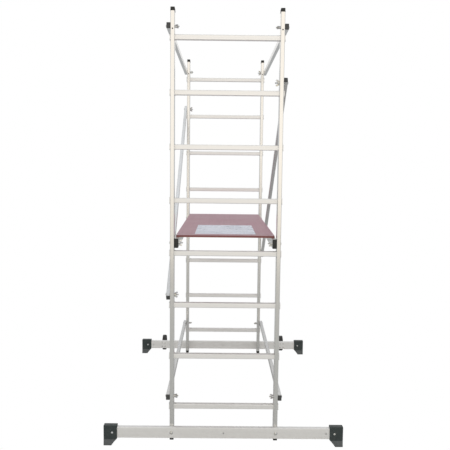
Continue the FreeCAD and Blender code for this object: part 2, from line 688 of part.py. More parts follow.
def make_bracket(side):
    """Pressed bracket on the rear beam with an ear on each side of the wheel."""
    body = new_body(f"{side}_wheel_bracket")
    plate = new_sketch(body, "XZ_Plane", "plate", along_y=BEAM_Z)
    draw_rectangle(plate, BRACKET_WIDTH, "bracket_height")
    pad(body, plate, "bracket_plate", backwards=True)

    start = value("bracket_plate / 2")
    stop = value(AXLE_REACH)
    half = value("ear_height / 2")
    ear = new_sketch(body, "YZ_Plane", "ear", along_y=AXLE_Z, lift=f"{EAR_GAP} / 2")
    corners = [(stop, -half), (start, -half), (start, half), (stop, half)]
    lines = []
    for first, second in zip(corners, corners[1:]):
        line = Part.LineSegment(FreeCAD.Vector(*first, 0), FreeCAD.Vector(*second, 0))
        lines.append(ear.addGeometry(line, False))
    circle = Part.Circle(FreeCAD.Vector(stop, 0, 0), UP, half)
    quarter = math.radians(QUARTER_TURN)
    nose = ear.addGeometry(Part.ArcOfCircle(circle, -quarter, quarter), False)
    tie(ear, "Coincident", lines[0], 2, lines[1], 1)
    tie(ear, "Coincident", lines[1], 2, lines[2], 1)
    tie(ear, "Tangent", lines[0], 1, nose, 1)
    tie(ear, "Tangent", lines[2], 2, nose, 2)
    tie(ear, "Horizontal", lines[0])
    tie(ear, "Vertical", lines[1])
    tie(ear, "Horizontal", lines[2])
    tie(ear, "PointOnObject", nose, 3, X_AXIS_LINE)
    dimension(ear, "DistanceX", (*ORIGIN, nose, 3), AXLE_REACH)
    dimension(ear, "DistanceX", (*ORIGIN, lines[1], 1), "bracket_plate / 2")
    dimension(ear, "DistanceY", (lines[1], 1, lines[1], 2), "ear_height")
    draw_circle(ear, "(axle_size + rivet_clearance)", x=AXLE_REACH)
    mirror(body, [pad(body, ear, "bracket_plate")], "YZ_Plane")

    holes = new_sketch(body, "XZ_Plane", "holes", along_y=BEAM_Z)
    for across in (-1, 1):
        for row in (-1, 1):
            draw_circle(holes, "(bracket_rivet_size + rivet_clearance)",
                        x=f"{across} * {RIVET_ROW} / 2", y=f"{row} * bracket_rivet_offset")
    pocket_blind(body, holes, "bracket_plate", backwards=False)
    place(body, f"{SIDES[side]} * {WHEEL_X}", BEAM_OUTSIDE, "0")


def make_bracket_rivets():
    grip = "(beam_depth + bracket_plate)"
    rivet = make_rivet("bracket_rivet_pattern", "bracket_rivet_size", "bracket_rivet_head",
                       "bracket_rivet_rise", grip)
    face = f"({BEAM_OUTSIDE} + bracket_plate)"
    group("bracket_rivets", [
        (rivet, (x, face, f"{BEAM_Z} + {z}", QUARTER_TURN)) for x, z in bracket_rivet_places()
    ])


def make_tyre(side):
    body = new_body(f"{side}_tyre")
    section = new_sketch(body, "XY_Plane", "section", along_y="(wheel_radius - tyre_height / 2)")
    draw_box(section, "tyre_width", "tyre_height", "tyre_corner")
    revolve(body, section)
    groove = new_sketch(body, "XY_Plane", "tread", along_x="0 - (tread_count - 1) * tread_pitch / 2",
                        along_y="wheel_radius")
    draw_rectangle(groove, "tread_width", "2 * tread_depth")
    repeat(body, [revolve(body, groove, "PartDesign::Groove")], "X_Axis", "tread_pitch", "tread_count")
    place(body, f"{SIDES[side]} * {WHEEL_X}", WHEEL_Y, AXLE_Z)


def make_hub(side):
    """Wheel centre: boss on the axle, thin web with round holes, and the rim under the tyre."""
    body = new_body(f"{side}_hub")
    bore = "(axle_size / 2 + axle_play)"
    rim_outside = "(wheel_radius - tyre_height - tyre_gap)"
    rim_inside = f"({rim_outside} - rim_height)"
    rings = (
        ("boss", BOSS_WIDTH, bore, "boss_radius"),
        ("web", "web_width", "(boss_radius - web_overlap)", f"({rim_inside} + web_overlap)"),
        ("rim", "(tyre_width - 2 * rim_inset)", rim_inside, rim_outside),
    )
    for name, width, inside, outside in rings:
        ring = new_sketch(body, "XY_Plane", name, along_y=f"({inside} + {outside}) / 2")
        draw_rectangle(ring, width, f"({outside} - {inside})")
        revolve(body, ring)
    hole = new_sketch(body, "YZ_Plane", "web_hole")
    draw_circle(hole, "web_hole", y=f"(boss_radius + {rim_inside}) / 2")
    cut = pocket_through(body, hole)
    pattern = body.newObject("PartDesign::PolarPattern", f"{body.Label}_web_holes")
    pattern.Originals = [cut]
    pattern.Axis = (origin_feature(body, "X_Axis"), [""])
    pattern.Angle = FULL_TURN
    bind(pattern, "Occurrences", "web_hole_count")
    body.Tip = pattern
    place(body, f"{SIDES[side]} * {WHEEL_X}", WHEEL_Y, AXLE_Z)


def make_axle(side):
    """Headed pin through both ears, with room for a retaining ring at its tail."""
    body = new_body(f"{side}_axle")
    shank = new_sketch(body, "YZ_Plane", "shank")
    draw_circle(shank, "axle_size")
    pad(body, shank, f"({BRACKET_WIDTH} + axle_tail)", backwards=True)
    head = new_sketch(body, "XY_Plane", "head")
    draw_dome(head, "axle_head_width", "axle_head_rise")
    revolve(body, head)
    sign = SIDES[side]
    turn = 0 if sign > 0 else HALF_TURN
    place(body, f"{sign} * ({WHEEL_X} + {BRACKET_WIDTH} / 2)", WHEEL_Y, AXLE_Z, turn)


def make_axle_rings():
    ring = new_body("axle_ring_pattern", is_node=False)
    sketch = new_sketch(ring, "YZ_Plane", "ring")
    draw_circle(sketch, "axle_head_width")
    draw_circle(sketch, "axle_size")
    pad(ring, sketch, "ring_thickness")
    group("axle_rings", [
        (ring, (f"{side} * ({WHEEL_X} - {BRACKET_WIDTH} / 2)", WHEEL_Y, AXLE_Z, QUARTER_TURN * (1 + side)))
        for side in SIDES.values()
    ])


# Working platform ---------------------------------------------------------------------------------

def deck_screw_rows():
    """Where the screws stand along each deck rail, from the middle of the deck."""
    steps = range(int(value("screw_count")))
    return [f"({step} - (screw_count - 1) / 2) * {SCREW_PITCH}" for step in steps]


def deck_screw_places():
    return [(f"{side} * {RAIL_X}", y) for side in SIDES.values() for y in deck_screw_rows()]


def make_deck():
    """Plywood board with a countersunk hole for each screw and a shallow recess for the notice film."""
    board = new_body("deck_board")
    outline = new_sketch(board, "XY_Plane", "outline")
    width = "(stile_spacing - stile_width - 2 * deck_side_gap)"
    draw_box(outline, width, DECK_LENGTH, "deck_corner")
    pad(board, outline, "deck_thickness")
    holes = new_sketch(board, "XY_Plane", "screw_holes", lift="deck_thickness")
    for x, y in deck_screw_places():
        draw_circle(holes, "screw_size", x=x, y=y)
    hole = board.newObject("PartDesign::Hole", "deck_board_screws")
    hole.Profile = holes
    doc.recompute()
    hole.Threaded = False
    hole.DepthType = "ThroughAll"
    hole.HoleCutType = "Countersink"
    hole.HoleCutCountersinkAngle = 90
    bind(hole, "Diameter", "screw_size")
    bind(hole, "HoleCutDiameter", "screw_head")

    recess = new_sketch(board, "XY_Plane", "recess", along_y=f"0 - {LABEL_OFFSET}", lift="deck_thickness")
    draw_box(recess, "(label_width + 2 * label_fit)", "(label_length + 2 * label_fit)",
             "(deck_corner / 2 + label_fit)")
    pocket_blind(board, recess, "label_thickness", backwards=False)
    place(board, "0", "0", DECK_UNDERSIDE)


def make_deck_screws():
    """Countersunk screws through the deck into the top wall of the rails."""
    body = new_body("deck_screw_pattern", is_node=False)
    section = new_sketch(body, "XY_Plane", "section")
    draw_polygon(section, [
        ("0", "0"),
        ("0", "screw_head / 2"),
        ("0 - (screw_head - screw_size) / 2", "screw_size / 2"),
        ("0 - screw_length", "screw_size / 2"),
        ("0 - screw_length", "0"),
    ])
    revolve(body, section)
    group("deck_screws", [
        (body, (x, y, f"{DECK_UNDERSIDE} + deck_thickness", -QUARTER_TURN, ALONG))
        for x, y in deck_screw_places()
    ])


def make_deck_rail(side):
    """Side rail of the platform, a length of stile tube bolted inside both ladders."""
    body = new_body(f"{side}_deck_rail")
    length = "(ladder_spacing + stile_depth - 2 * rail_cap)"
    hollow(body, "XZ_Plane", "stile_width", "stile_depth", "stile_wall", "tube_corner", length, centred=True)
    holes = new_sketch(body, "YZ_Plane", "bolt_holes")
    for end in ENDS.values():
        draw_circle(holes, BOLT_HOLE, x=f"{end} * {LADDER_Y}")
    pocket_through(body, holes)
    top = new_sketch(body, "XY_Plane", "screw_holes", lift="stile_depth / 2")
    for y in deck_screw_rows():
        draw_circle(top, "screw_size", y=y)
    pocket_blind(body, top, "2 * stile_wall", backwards=False)
    place(body, f"{SIDES[side]} * {RAIL_X}", "0", DECK_RAIL_Z)


def make_deck_rail_caps():
    body = new_body("rail_cap_pattern", is_node=False)
    plate = new_sketch(body, "XZ_Plane", "plate")
    draw_box(plate, "stile_width", "stile_depth", "tube_corner")
    pad(body, plate, "rail_cap")
    add_plug(body, "XZ_Plane", "stile_width", "stile_depth", "stile_wall", "tube_corner",
             f"(stile_depth / 2 - rail_cap - {BOLT_HOLE} / 2 - plug_end_gap)", backwards=True)
    face = f"({LADDER_Y} + stile_depth / 2 - rail_cap)"
    group("deck_rail_caps", [
        (body, (f"{side} * {RAIL_X}", f"{end} * {face}", DECK_RAIL_Z, QUARTER_TURN * (1 + end)))
        for end in ENDS.values() for side in SIDES.values()
    ])


def make_cross_members():
    """Channels across the platform, open downwards, that the deck lies on between its rails."""
    body = new_body("deck_cross_members")
    outside = new_sketch(body, "YZ_Plane", "outside")
    half = "cross_depth / 2"
    inner = "(cross_depth / 2 - cross_wall)"
    draw_polygon(outside, [
        (f"0 - {half}", "0 - cross_height"),
        (f"0 - {inner}", "0 - cross_height"),
        (f"0 - {inner}", "0 - cross_wall"),
        (inner, "0 - cross_wall"),
        (inner, "0 - cross_height"),
        (half, "0 - cross_height"),
        (half, "0"),
        (f"0 - {half}", "0"),
    ])
    channel = pad(body, outside, f"2 * {RAIL_INSIDE}", centred=True)
    repeat(body, [channel], "Y_Axis", CROSS_PITCH, "cross_count")
    place(body, "0", f"0 - {DECK_LENGTH} / 2 + cross_inset", DECK_UNDERSIDE)


def make_deck_label():
    """Blank film where the real deck carries its notice."""
    body = new_body("deck_label")
    outline = new_sketch(body, "XY_Plane", "outline")
    draw_box(outline, "label_width", "label_length", "deck_corner / 2")
    pad(body, outline, "label_thickness")
    place(body, "0", f"0 - {LABEL_OFFSET}", f"{DECK_UNDERSIDE} + deck_thickness - label_thickness")


# Bracing tubes ------------------------------------------------------------------------------------

def make_bar(label, span):
    """Bracing tube along Y with a bolt hole at each end of its span."""
    body = new_body(label)
    length = f"({span} + 2 * bar_overhang - 2 * bar_cap)"
    hollow(body, "XZ_Plane", "bar_width", "bar_height", "bar_wall", "bar_corner", length, centred=True)
    holes = new_sketch(body, "YZ_Plane", "bolt_holes")
    for end in ENDS.values():
        draw_circle(holes, BOLT_HOLE, x=f"{end} * {span} / 2")
    pocket_through(body, holes)
    return body


def make_cap_pair(label, span):
    """The two end caps of one bracing tube, at their places along it."""
    body = new_body(label, is_node=False)
    tube_end = f"({span} / 2 + bar_overhang - bar_cap)"
    plate = new_sketch(body, "XZ_Plane", "plate", lift=tube_end)
    draw_box(plate, "bar_width", "bar_height", "bar_corner")
    cap = pad(body, plate, "bar_cap")
    plug = add_plug(body, "XZ_Plane", "bar_width", "bar_height", "bar_wall", "bar_corner",
                    f"(bar_overhang - bar_cap - {BOLT_HOLE} / 2 - plug_end_gap)", tube_end, backwards=True)
    mirror(body, [cap, plug], "XZ_Plane")
    return body


def make_bracing():
    """Guard rails and struts level between the ladders, and diagonals that cross opposite ways."""
    level_caps = make_cap_pair("level_cap_pattern", "ladder_spacing")
    sloped_caps = make_cap_pair("sloped_cap_pattern", DIAGONAL_SPAN)
    middle = f"(({LOW_BRACE_Z} + {HIGH_BRACE_Z}) / 2)"
    slope = f"atan2({DIAGONAL_RISE}; ladder_spacing)"
    caps = []
    for side, sign in SIDES.items():
        for name, height in (("guard_rail", GUARD_RAIL_Z), ("strut", STRUT_Z)):
            spot = (f"{sign} * {BAR_X}", "0", height)
            place(make_bar(f"{side}_{name}", "ladder_spacing"), *spot)
            caps.append((level_caps, spot))
        spot = (f"{sign} * {BAR_X}", "0", middle, 1, ACROSS * -sign)
        diagonal = make_bar(f"{side}_diagonal", DIAGONAL_SPAN)
        place(diagonal, *spot)
        bind(diagonal, "Placement.Rotation.Angle", slope)
        caps.append((sloped_caps, spot))
    for link in group("bracing_caps", caps):
        if link.LinkedObject == sloped_caps:
            bind(link, "Placement.Rotation.Angle", slope)


def make_bolt(name, length):
    """Domed bolt along X whose head seats at x = 0 and stands towards +X."""
    body = new_body(name, is_node=False)
    shank = new_sketch(body, "YZ_Plane", "shank")
    draw_circle(shank, "bolt_size")
    pad(body, shank, length, backwards=True)
    head = new_sketch(body, "XY_Plane", "head")
    draw_dome(head, "bolt_head_width", "bolt_head_rise")
    revolve(body, head)
    return body


def joint_places():
    """Every bolted joint between a ladder and a side member: name, end, side, height, faces."""
    heights = {"guard_rail": GUARD_RAIL_Z, "strut": STRUT_Z, "deck_rail": DECK_RAIL_Z}
    places = []
    for end, end_sign in ENDS.items():
        for side, side_sign in SIDES.items():
            heights["diagonal"] = LOW_BRACE_Z if end_sign * side_sign > 0 else HIGH_BRACE_Z
            for member, height in heights.items():
                inside_member = member == "deck_rail"
                head_face = STILE_OUTSIDE if inside_member else f"({STILE_OUTSIDE} + bar_width)"
                nut_face = RAIL_INSIDE if inside_member else STILE_INSIDE
                name = f"{end}_{side}_{member}"
                places.append((name, end_sign, side_sign, height, head_face, nut_face))
    return places


def make_joint_fasteners():
    bar_bolt = make_bolt("bar_bolt_pattern", "(bar_width + stile_width + bolt_tail)")
    rail_bolt = make_bolt("rail_bolt_pattern", "(2 * stile_width + bolt_tail)")
    washer = new_body("washer_pattern", is_node=False)
    ring = new_sketch(washer, "YZ_Plane", "ring")
    draw_circle(ring, "washer_width")
    draw_circle(ring, BOLT_HOLE)
    pad(washer, ring, "washer_thickness", backwards=True)
    bolts = []
    washers = []
    for name, end, side, height, head_face, nut_face in joint_places():
        turn = 0 if side > 0 else HALF_TURN
        bolt = rail_bolt if name.endswith("deck_rail") else bar_bolt
        bolts.append((bolt, (f"{side} * {head_face}", f"{end} * {LADDER_Y}", height, turn)))
        washers.append((washer, (f"{side} * {nut_face}", f"{end} * {LADDER_Y}", height, turn)))
    group("carriage_bolts", bolts)
    group("bolt_washers", washers)


def make_wing_nut(name, end, side, height, nut_face, turn):
    """Wing nut along X, seat at x = 0 and wings towards -X, put on with its own turn."""
    body = new_body(f"{name}_wing_nut")
    hub = new_sketch(body, "XY_Plane", "hub")
    bore = "(bolt_size / 2 + nut_play)"
    draw_polygon(hub, [
        ("0", bore),
        ("0", "nut_width / 2"),
        ("0 - nut_straight", "nut_width / 2"),
        ("0 - nut_height", "nut_width / 2 - nut_taper"),
        ("0 - nut_height", bore),
    ])
    revolve(body, hub)

    lift = value("wing_lift")
    reach = value("wing_reach")
    radius = value("wing_radius")
    slant = math.atan2(reach, radius - lift)
    wing = new_sketch(body, "XY_Plane", "wing")
    root_middle = FreeCAD.Vector(-radius, 0, 0)
    tip_middle = FreeCAD.Vector(-lift, reach, 0)
    normal = FreeCAD.Vector(-math.sin(slant), math.cos(slant), 0) * radius
    upper = wing.addGeometry(Part.LineSegment(root_middle + normal, tip_middle + normal), False)
    lower = wing.addGeometry(Part.LineSegment(tip_middle - normal, root_middle - normal), False)
    tip_circle = Part.Circle(tip_middle, UP, radius)
    root_circle = Part.Circle(root_middle, UP, radius)
    quarter = math.radians(QUARTER_TURN)
    tip = wing.addGeometry(Part.ArcOfCircle(tip_circle, slant - quarter, slant + quarter), False)
    root = wing.addGeometry(Part.ArcOfCircle(root_circle, slant + quarter, slant + 3 * quarter), False)
    tie(wing, "Tangent", upper, 2, tip, 2)
    tie(wing, "Tangent", upper, 1, root, 1)
    tie(wing, "Tangent", lower, 1, tip, 1)
    tie(wing, "Tangent", lower, 2, root, 2)
    dimension(wing, "DistanceX", (*ORIGIN, tip, 3), "0 - wing_lift")
    dimension(wing, "DistanceY", (*ORIGIN, tip, 3), "wing_reach")
    dimension(wing, "DistanceX", (*ORIGIN, root, 3), "0 - wing_radius")
    dimension(wing, "DistanceY", (*ORIGIN, root, 3), "0")
    dimension(wing, "Radius", (tip,), "wing_radius")
    mirror(body, [pad(body, wing, "wing_thickness", centred=True)], "XZ_Plane")

    thread = new_sketch(body, "YZ_Plane", "thread")
    draw_circle(thread, f"2 * {bore}")
    pocket_through(body, thread)
    seat_x = f"{side} * ({nut_face} - washer_thickness - nut_gap)"
    place(body, seat_x, f"{end} * {LADDER_Y}", height)
    facing = FreeCAD.Rotation(UP, 0 if side > 0 else HALF_TURN)
    body.Placement.Rotation = facing.multiply(FreeCAD.Rotation(ACROSS, turn))


def make_wing_nuts():
    """One wing nut at every bolted joint, each left turned its own way as they are in use."""
    turn = value("nut_first_turn")
    for name, end, side, height, head_face, nut_face in joint_places():
        make_wing_nut(name, end, side, height, nut_face, turn)
        turn = (turn + value("nut_turn_step")) % HALF_TURN


# Assembly -----------------------------------------------------------------------------------------

for end in ENDS:
    for side in SIDES:
        make_stile(end, side)
        make_foot(end, side)
    make_rungs(end)
    make_beam(end)
for side in SIDES:
    make_bracket(side)
    make_axle(side)
    make_hub(side)
    make_tyre(side)
    make_deck_rail(side)
make_stile_caps()
make_foot_rivets()
make_beam_fasteners()
make_bracket_rivets()
make_axle_rings()
make_deck()
make_deck_screws()
make_deck_rail_caps()
make_cross_members()
make_deck_label()
make_bracing()
make_joint_fasteners()
make_wing_nuts()
doc.recompute()

for thing in doc.Objects:
    if "Invalid" in thing.State or "Error" in thing.State:
        raise RuntimeError(f"{thing.Label} did not compute: {thing.State}")
for node in nodes:
    if node.Shape.isNull() or not node.Shape.isValid() or not node.Shape.Solids:
        raise RuntimeError(f"{node.Label} has no valid solid")

os.makedirs("parts", exist_ok=True)
for node in nodes:
    node.Shape.exportStep(f"parts/{node.Label}.step")
    print(node.Label, len(node.Shape.Solids), "solids", round(node.Shape.Volume / 1000, 2), "cm3")
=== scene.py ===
import json
import math

import bmesh
import bpy
from mathutils import Matrix, Vector


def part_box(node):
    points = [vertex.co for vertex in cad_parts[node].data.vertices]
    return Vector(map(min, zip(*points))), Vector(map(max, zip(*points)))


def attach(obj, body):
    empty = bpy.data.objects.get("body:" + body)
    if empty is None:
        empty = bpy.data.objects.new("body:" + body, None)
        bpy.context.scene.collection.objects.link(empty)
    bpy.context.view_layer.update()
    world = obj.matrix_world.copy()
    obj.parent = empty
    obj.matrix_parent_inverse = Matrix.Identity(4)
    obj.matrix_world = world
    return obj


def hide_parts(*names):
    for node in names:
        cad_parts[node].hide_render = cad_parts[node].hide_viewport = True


# Mobile tower scaffold in metres: the looks of two drawn aluminium ladders, their bracing tubes, the
# stabiliser beams with moulded feet and wheels, the film-faced deck and every fastener.

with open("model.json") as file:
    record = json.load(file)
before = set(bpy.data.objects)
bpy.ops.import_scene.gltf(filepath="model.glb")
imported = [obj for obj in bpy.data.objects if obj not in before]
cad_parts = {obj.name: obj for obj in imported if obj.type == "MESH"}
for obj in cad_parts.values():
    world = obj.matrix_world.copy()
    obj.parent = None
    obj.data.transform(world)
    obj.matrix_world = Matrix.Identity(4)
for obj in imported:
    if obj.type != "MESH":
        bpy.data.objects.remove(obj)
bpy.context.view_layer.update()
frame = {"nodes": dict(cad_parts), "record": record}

MM = 0.001
SIDES = {"left": -1, "right": 1}
ENDS = {"front": -1, "rear": 1}
QUARTER = math.pi / 2
FULL_TURN = 2 * math.pi
ACROSS = Vector((1, 0, 0))
ALONG = Vector((0, 1, 0))
UP = Vector((0, 0, 1))
MIDDLE_Y = sum(corner.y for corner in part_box("deck_board")) / 2


# The view --------------------------------------------------------------------------------------

CAMERA_PLACE = Vector((-0.02676, -4.03498, 1.50813))
CAMERA_YAW = 0.00735
CAMERA_PITCH = -0.09739
CAMERA_ROLL = 0.0107
CAMERA_LENS = 48.55
FILM_WIDTH = 36
VIEW_REACH = 200
FLOOR_SIZE = 60
PLAIN_WHITE = 1.0
ROOM_GLOW = 0.65
ROOM_TINT = (0.97, 0.985, 1, 1)
FLOOR_SHADE = (0.73, 0.735, 0.72, 1)

# Of each softbox: its place, what it points at, its width, height, radiance and tint.
SOFTBOXES = {
    "front_softbox": ((0.2, -8, 3.3), (0.2, 0, 3.3), 8, 6.6, 0.67, (1, 0.87, 0.7)),
    "rear_softbox": ((0, 8, 5.0), (0, 0, 5.0), 9, 3.2, 0.4, (1, 0.94, 0.86)),
    "top_softbox": ((0, 1.5, 6.0), (0, 0, 0), 4, 4, 0.5, (0.94, 0.97, 1)),
}


def make_camera():
    """A view from the front, at standing eye height, tipped down a little."""
    data = bpy.data.cameras.new("camera")
    data.lens = CAMERA_LENS
    data.sensor_width = FILM_WIDTH
    data.clip_end = VIEW_REACH
    camera = bpy.data.objects.new("camera", data)
    level = Matrix.Rotation(-CAMERA_YAW, 4, "Z") @ Matrix.Rotation(QUARTER + CAMERA_PITCH, 4, "X")
    camera.matrix_world = Matrix.Translation(CAMERA_PLACE) @ level @ Matrix.Rotation(CAMERA_ROLL, 4, "Z")
    scene = bpy.context.scene
    scene.collection.objects.link(camera)
    scene.camera = camera
    scene.view_settings.view_transform = "Standard"


def make_softbox(name, place, aim, width, height, radiance, tint):
    """A studio softbox that points at a place; its brightness doesn't depend on its size."""
    data = bpy.data.lights.new(name, "AREA")
    data.shape = "RECTANGLE"
    data.size = width
    data.size_y = height
    data.energy = radiance * math.pi * width * height
    data.color = tint
    light = bpy.data.objects.new(name, data)
    light.location = place
    light.rotation_mode = "QUATERNION"
    light.rotation_quaternion = (Vector(aim) - Vector(place)).to_track_quat("-Z", "Y")
    light.visible_camera = False
    bpy.context.scene.collection.objects.link(light)


def add(tree, kind, inputs=None, **settings):
    """A node with its settings; each input is linked from a socket or set to a value."""
    made = tree.nodes.new(kind)
    for name, setting in settings.items():
        setattr(made, name, setting)
    for key, given in (inputs or {}).items():
        if isinstance(given, bpy.types.NodeSocket):
            tree.links.new(given, made.inputs[key])
        else:
            made.inputs[key].default_value = given
    return made


def make_studio():
    """Even white surroundings for the camera, and a softer, cooler room for everything else."""
    world = bpy.data.worlds.new("studio")
    world.use_nodes = True
    tree = world.node_tree
    tree.nodes.clear()
    glow = add(tree, "ShaderNodeBackground", {"Color": ROOM_TINT, "Strength": ROOM_GLOW})
    white = add(tree, "ShaderNodeBackground", {"Color": (1, 1, 1, 1), "Strength": PLAIN_WHITE})
    ray = add(tree, "ShaderNodeLightPath")
    both = add(tree, "ShaderNodeMixShader",
               {0: ray.outputs["Is Camera Ray"], 1: glow.outputs[0], 2: white.outputs[0]})
    add(tree, "ShaderNodeOutputWorld", {"Surface": both.outputs[0]})
    bpy.context.scene.world = world

    for name, settings in SOFTBOXES.items():
        make_softbox(name, *settings)

    bpy.ops.mesh.primitive_plane_add(size=FLOOR_SIZE)
    floor = bpy.context.object
    floor.name = "studio_floor"
    finish = bpy.data.materials.new("pale_floor")
    finish.use_nodes = True
    tree = finish.node_tree
    tree.nodes.clear()
    paper = add(tree, "ShaderNodeBsdfDiffuse", {"Color": FLOOR_SHADE})
    white = add(tree, "ShaderNodeEmission", {"Strength": PLAIN_WHITE})
    ray = add(tree, "ShaderNodeLightPath")
    shown = add(tree, "ShaderNodeMixShader",
                {0: ray.outputs["Is Camera Ray"], 1: paper.outputs[0], 2: white.outputs[0]})
    add(tree, "ShaderNodeOutputMaterial", {"Surface": shown.outputs[0]})
    floor.data.materials.append(finish)


# Shared finish effects ---------------------------------------------------------------------------

# How many there are in a metre.
DIE_LINES = 900
DIE_STREAKS = 160
OXIDE_BLOTCHES = 22
SCRATCHES = 420
SCUFFED_PATCHES = 9
DUST_PATCHES = 35
MOULD_CELLS = 1400.0
MOULD_SPECKS = 2300
FLOW_MARKS = 28

SCRATCH_TURNS = (0.4, 1.5, 2.6)
SCRATCH_STRETCH = (1, 0.06, 1)


def new_group(name, inputs, outputs):
    """An empty shader node group: inputs and outputs give each socket's name and kind."""
    tree = bpy.data.node_groups.new(name, "ShaderNodeTree")
    for socket, kind in inputs.items():
        tree.interface.new_socket(socket, in_out="INPUT", socket_type=f"NodeSocket{kind}")
    for socket, kind in outputs.items():
        tree.interface.new_socket(socket, in_out="OUTPUT", socket_type=f"NodeSocket{kind}")
    return tree, tree.nodes.new("NodeGroupInput").outputs, tree.nodes.new("NodeGroupOutput").inputs


def math_node(tree, operation, *given):
    """One step of arithmetic on sockets and numbers."""
    return add(tree, "ShaderNodeMath", dict(enumerate(given)), operation=operation).outputs[0]


def noise(tree, vector, scale, detail=2.0, roughness=0.5):
    """Cloudy variation with so many features a metre."""
    made = add(tree, "ShaderNodeTexNoise",
               {"Vector": vector, "Scale": scale, "Detail": detail, "Roughness": roughness})
    return made.outputs["Fac"]


def spread(tree, fac, low, high, to_low=0.0, to_high=1.0):
    """The share between low and high, held at both ends, as a value from to_low to to_high."""
    made = add(tree, "ShaderNodeMapRange", {0: fac, 1: low, 2: high, 3: to_low, 4: to_high})
    return made.outputs[0]


def split(tree, vector):
    """The X, Y and Z of a place or a direction."""
    return add(tree, "ShaderNodeSeparateXYZ", {0: vector}).outputs


def facing_up(tree):
    """One on a face that looks up, nought on an upright one, minus one underneath."""
    return split(tree, add(tree, "ShaderNodeNewGeometry").outputs["Normal"])["Z"]


def make_drawn_grain():
    """Fine die lines along a drawn tube, with slow blotches of oxide."""
    tree, given, made = new_group("drawn_grain", {"Vector": "Vector"},
                                  {"Lines": "Float", "Blotches": "Float"})
    stretched = given["Vector"]
    fine = math_node(tree, "MULTIPLY", noise(tree, stretched, DIE_LINES, 3), 0.6)
    broad = math_node(tree, "MULTIPLY", noise(tree, stretched, DIE_STREAKS, 2), 0.4)
    tree.links.new(math_node(tree, "ADD", fine, broad), made["Lines"])
    blotches = spread(tree, noise(tree, stretched, OXIDE_BLOTCHES, 4, 0.6), 0.3, 0.7)
    tree.links.new(blotches, made["Blotches"])
    return tree


def make_scuffing():
    """Short thin scratches that run every way, in patches."""
    tree, given, made = new_group("scuffing", {"Vector": "Vector", "Amount": "Float"},
                                  {"Scratches": "Float"})
    marks = None
    for turn in SCRATCH_TURNS:
        leaning = add(tree, "ShaderNodeMapping", {"Vector": given["Vector"], "Rotation": (turn, turn, turn),
                                                  "Scale": SCRATCH_STRETCH}).outputs[0]
        line = spread(tree, noise(tree, leaning, SCRATCHES, 1), 0.68, 0.74)
        marks = line if marks is None else math_node(tree, "MAXIMUM", marks, line)
    patch = spread(tree, noise(tree, given["Vector"], SCUFFED_PATCHES, 3), 0.48, 0.66)
    there = math_node(tree, "MULTIPLY", marks, patch)
    tree.links.new(math_node(tree, "MULTIPLY", there, given["Amount"]), made["Scratches"])
    return tree


def make_settled_dust():
    """Dust on whatever faces up, thicker towards the ground."""
    tree, given, made = new_group("settled_dust", {"Vector": "Vector", "Amount": "Float"},
                                  {"Dust": "Float"})
    upward = spread(tree, facing_up(tree), 0.2, 0.95)
    near_ground = spread(tree, split(tree, given["Vector"])["Z"], 0.02, 0.35, 0.55, 0.0)
    lie = math_node(tree, "MAXIMUM", upward, near_ground)
    patches = spread(tree, noise(tree, given["Vector"], DUST_PATCHES, 5, 0.65), 0.35, 0.7, 0.25, 1.0)
    dust = math_node(tree, "MULTIPLY", lie, patches)
    tree.links.new(math_node(tree, "MULTIPLY", dust, given["Amount"]), made["Dust"])
    return tree


def make_moulded_grain():
    """The fine spark-eroded texture of an injection mould, with faint flow marks."""
    tree, given, made = new_group("moulded_grain", {"Vector": "Vector"},
                                  {"Grain": "Float", "Flow": "Float"})
    here = given["Vector"]
    cells = add(tree, "ShaderNodeTexVoronoi", {"Vector": here, "Scale": MOULD_CELLS}).outputs["Distance"]
    tree.links.new(math_node(tree, "ADD", cells, noise(tree, here, MOULD_SPECKS, 2)), made["Grain"])
    tree.links.new(spread(tree, noise(tree, here, FLOW_MARKS, 3, 0.6), 0.3, 0.72), made["Flow"])
    return tree


GRAIN = make_drawn_grain()
SCUFFS = make_scuffing()
DUST = make_settled_dust()
MOULDED = make_moulded_grain()


def place_group(tree, group, inputs):
    """A shared effect placed in a material, with that material's own values."""
    return add(tree, "ShaderNodeGroup", inputs, node_tree=group).outputs


def new_material(name):
    """An empty material, its node tree, and the place of each point on the piece."""
    material = bpy.data.materials.new(name)
    material.use_nodes = True
    tree = material.node_tree
    tree.nodes.clear()
    return material, tree, add(tree, "ShaderNodeTexCoord").outputs["Object"]


def mix(tree, fac, first, second):
    """A colour between two, each a socket or three numbers."""
    made = tree.nodes.new("ShaderNodeMix")
    made.data_type = "RGBA"
    tree.links.new(fac, made.inputs["Factor"])
    for key, given in (("A", first), ("B", second)):
        socket = next(s for s in made.inputs if s.name == key and s.type == "RGBA")
        if isinstance(given, bpy.types.NodeSocket):
            tree.links.new(given, socket)
        else:
            socket.default_value = (*given, 1)
    return next(s for s in made.outputs if s.type == "RGBA")


def bump(tree, height, strength, distance):
    """Surface normals tilted by a height, of so many metres at full strength."""
    made = add(tree, "ShaderNodeBump", {"Height": height, "Strength": strength, "Distance": distance})
    return made.outputs[0]


def close_with(tree, shader):
    """Ends a material with the shader that it shows."""
    add(tree, "ShaderNodeOutputMaterial", {"Surface": shader.outputs[0]})


# Finishes ----------------------------------------------------------------------------------------

# Two tints of each metal: where it is clean, and where it has oxidised.
LADDER_TINTS = ((0.8, 0.795, 0.775), (0.73, 0.725, 0.71))
# A brighter aluminium for rungs and beams: partly the metal's own tone, partly painted light for the light
# their faces catch from above and from the floor.
BRIGHTER_WITH_PAINTED_LIGHT_TINTS = ((0.96, 0.955, 0.945), (0.9, 0.895, 0.885))
GREY_TINTS = ((0.66, 0.655, 0.65), (0.6, 0.595, 0.59))
PALE_TINTS = ((0.76, 0.765, 0.77), (0.69, 0.695, 0.7))
SCRATCHED_METAL = (0.93, 0.93, 0.92)

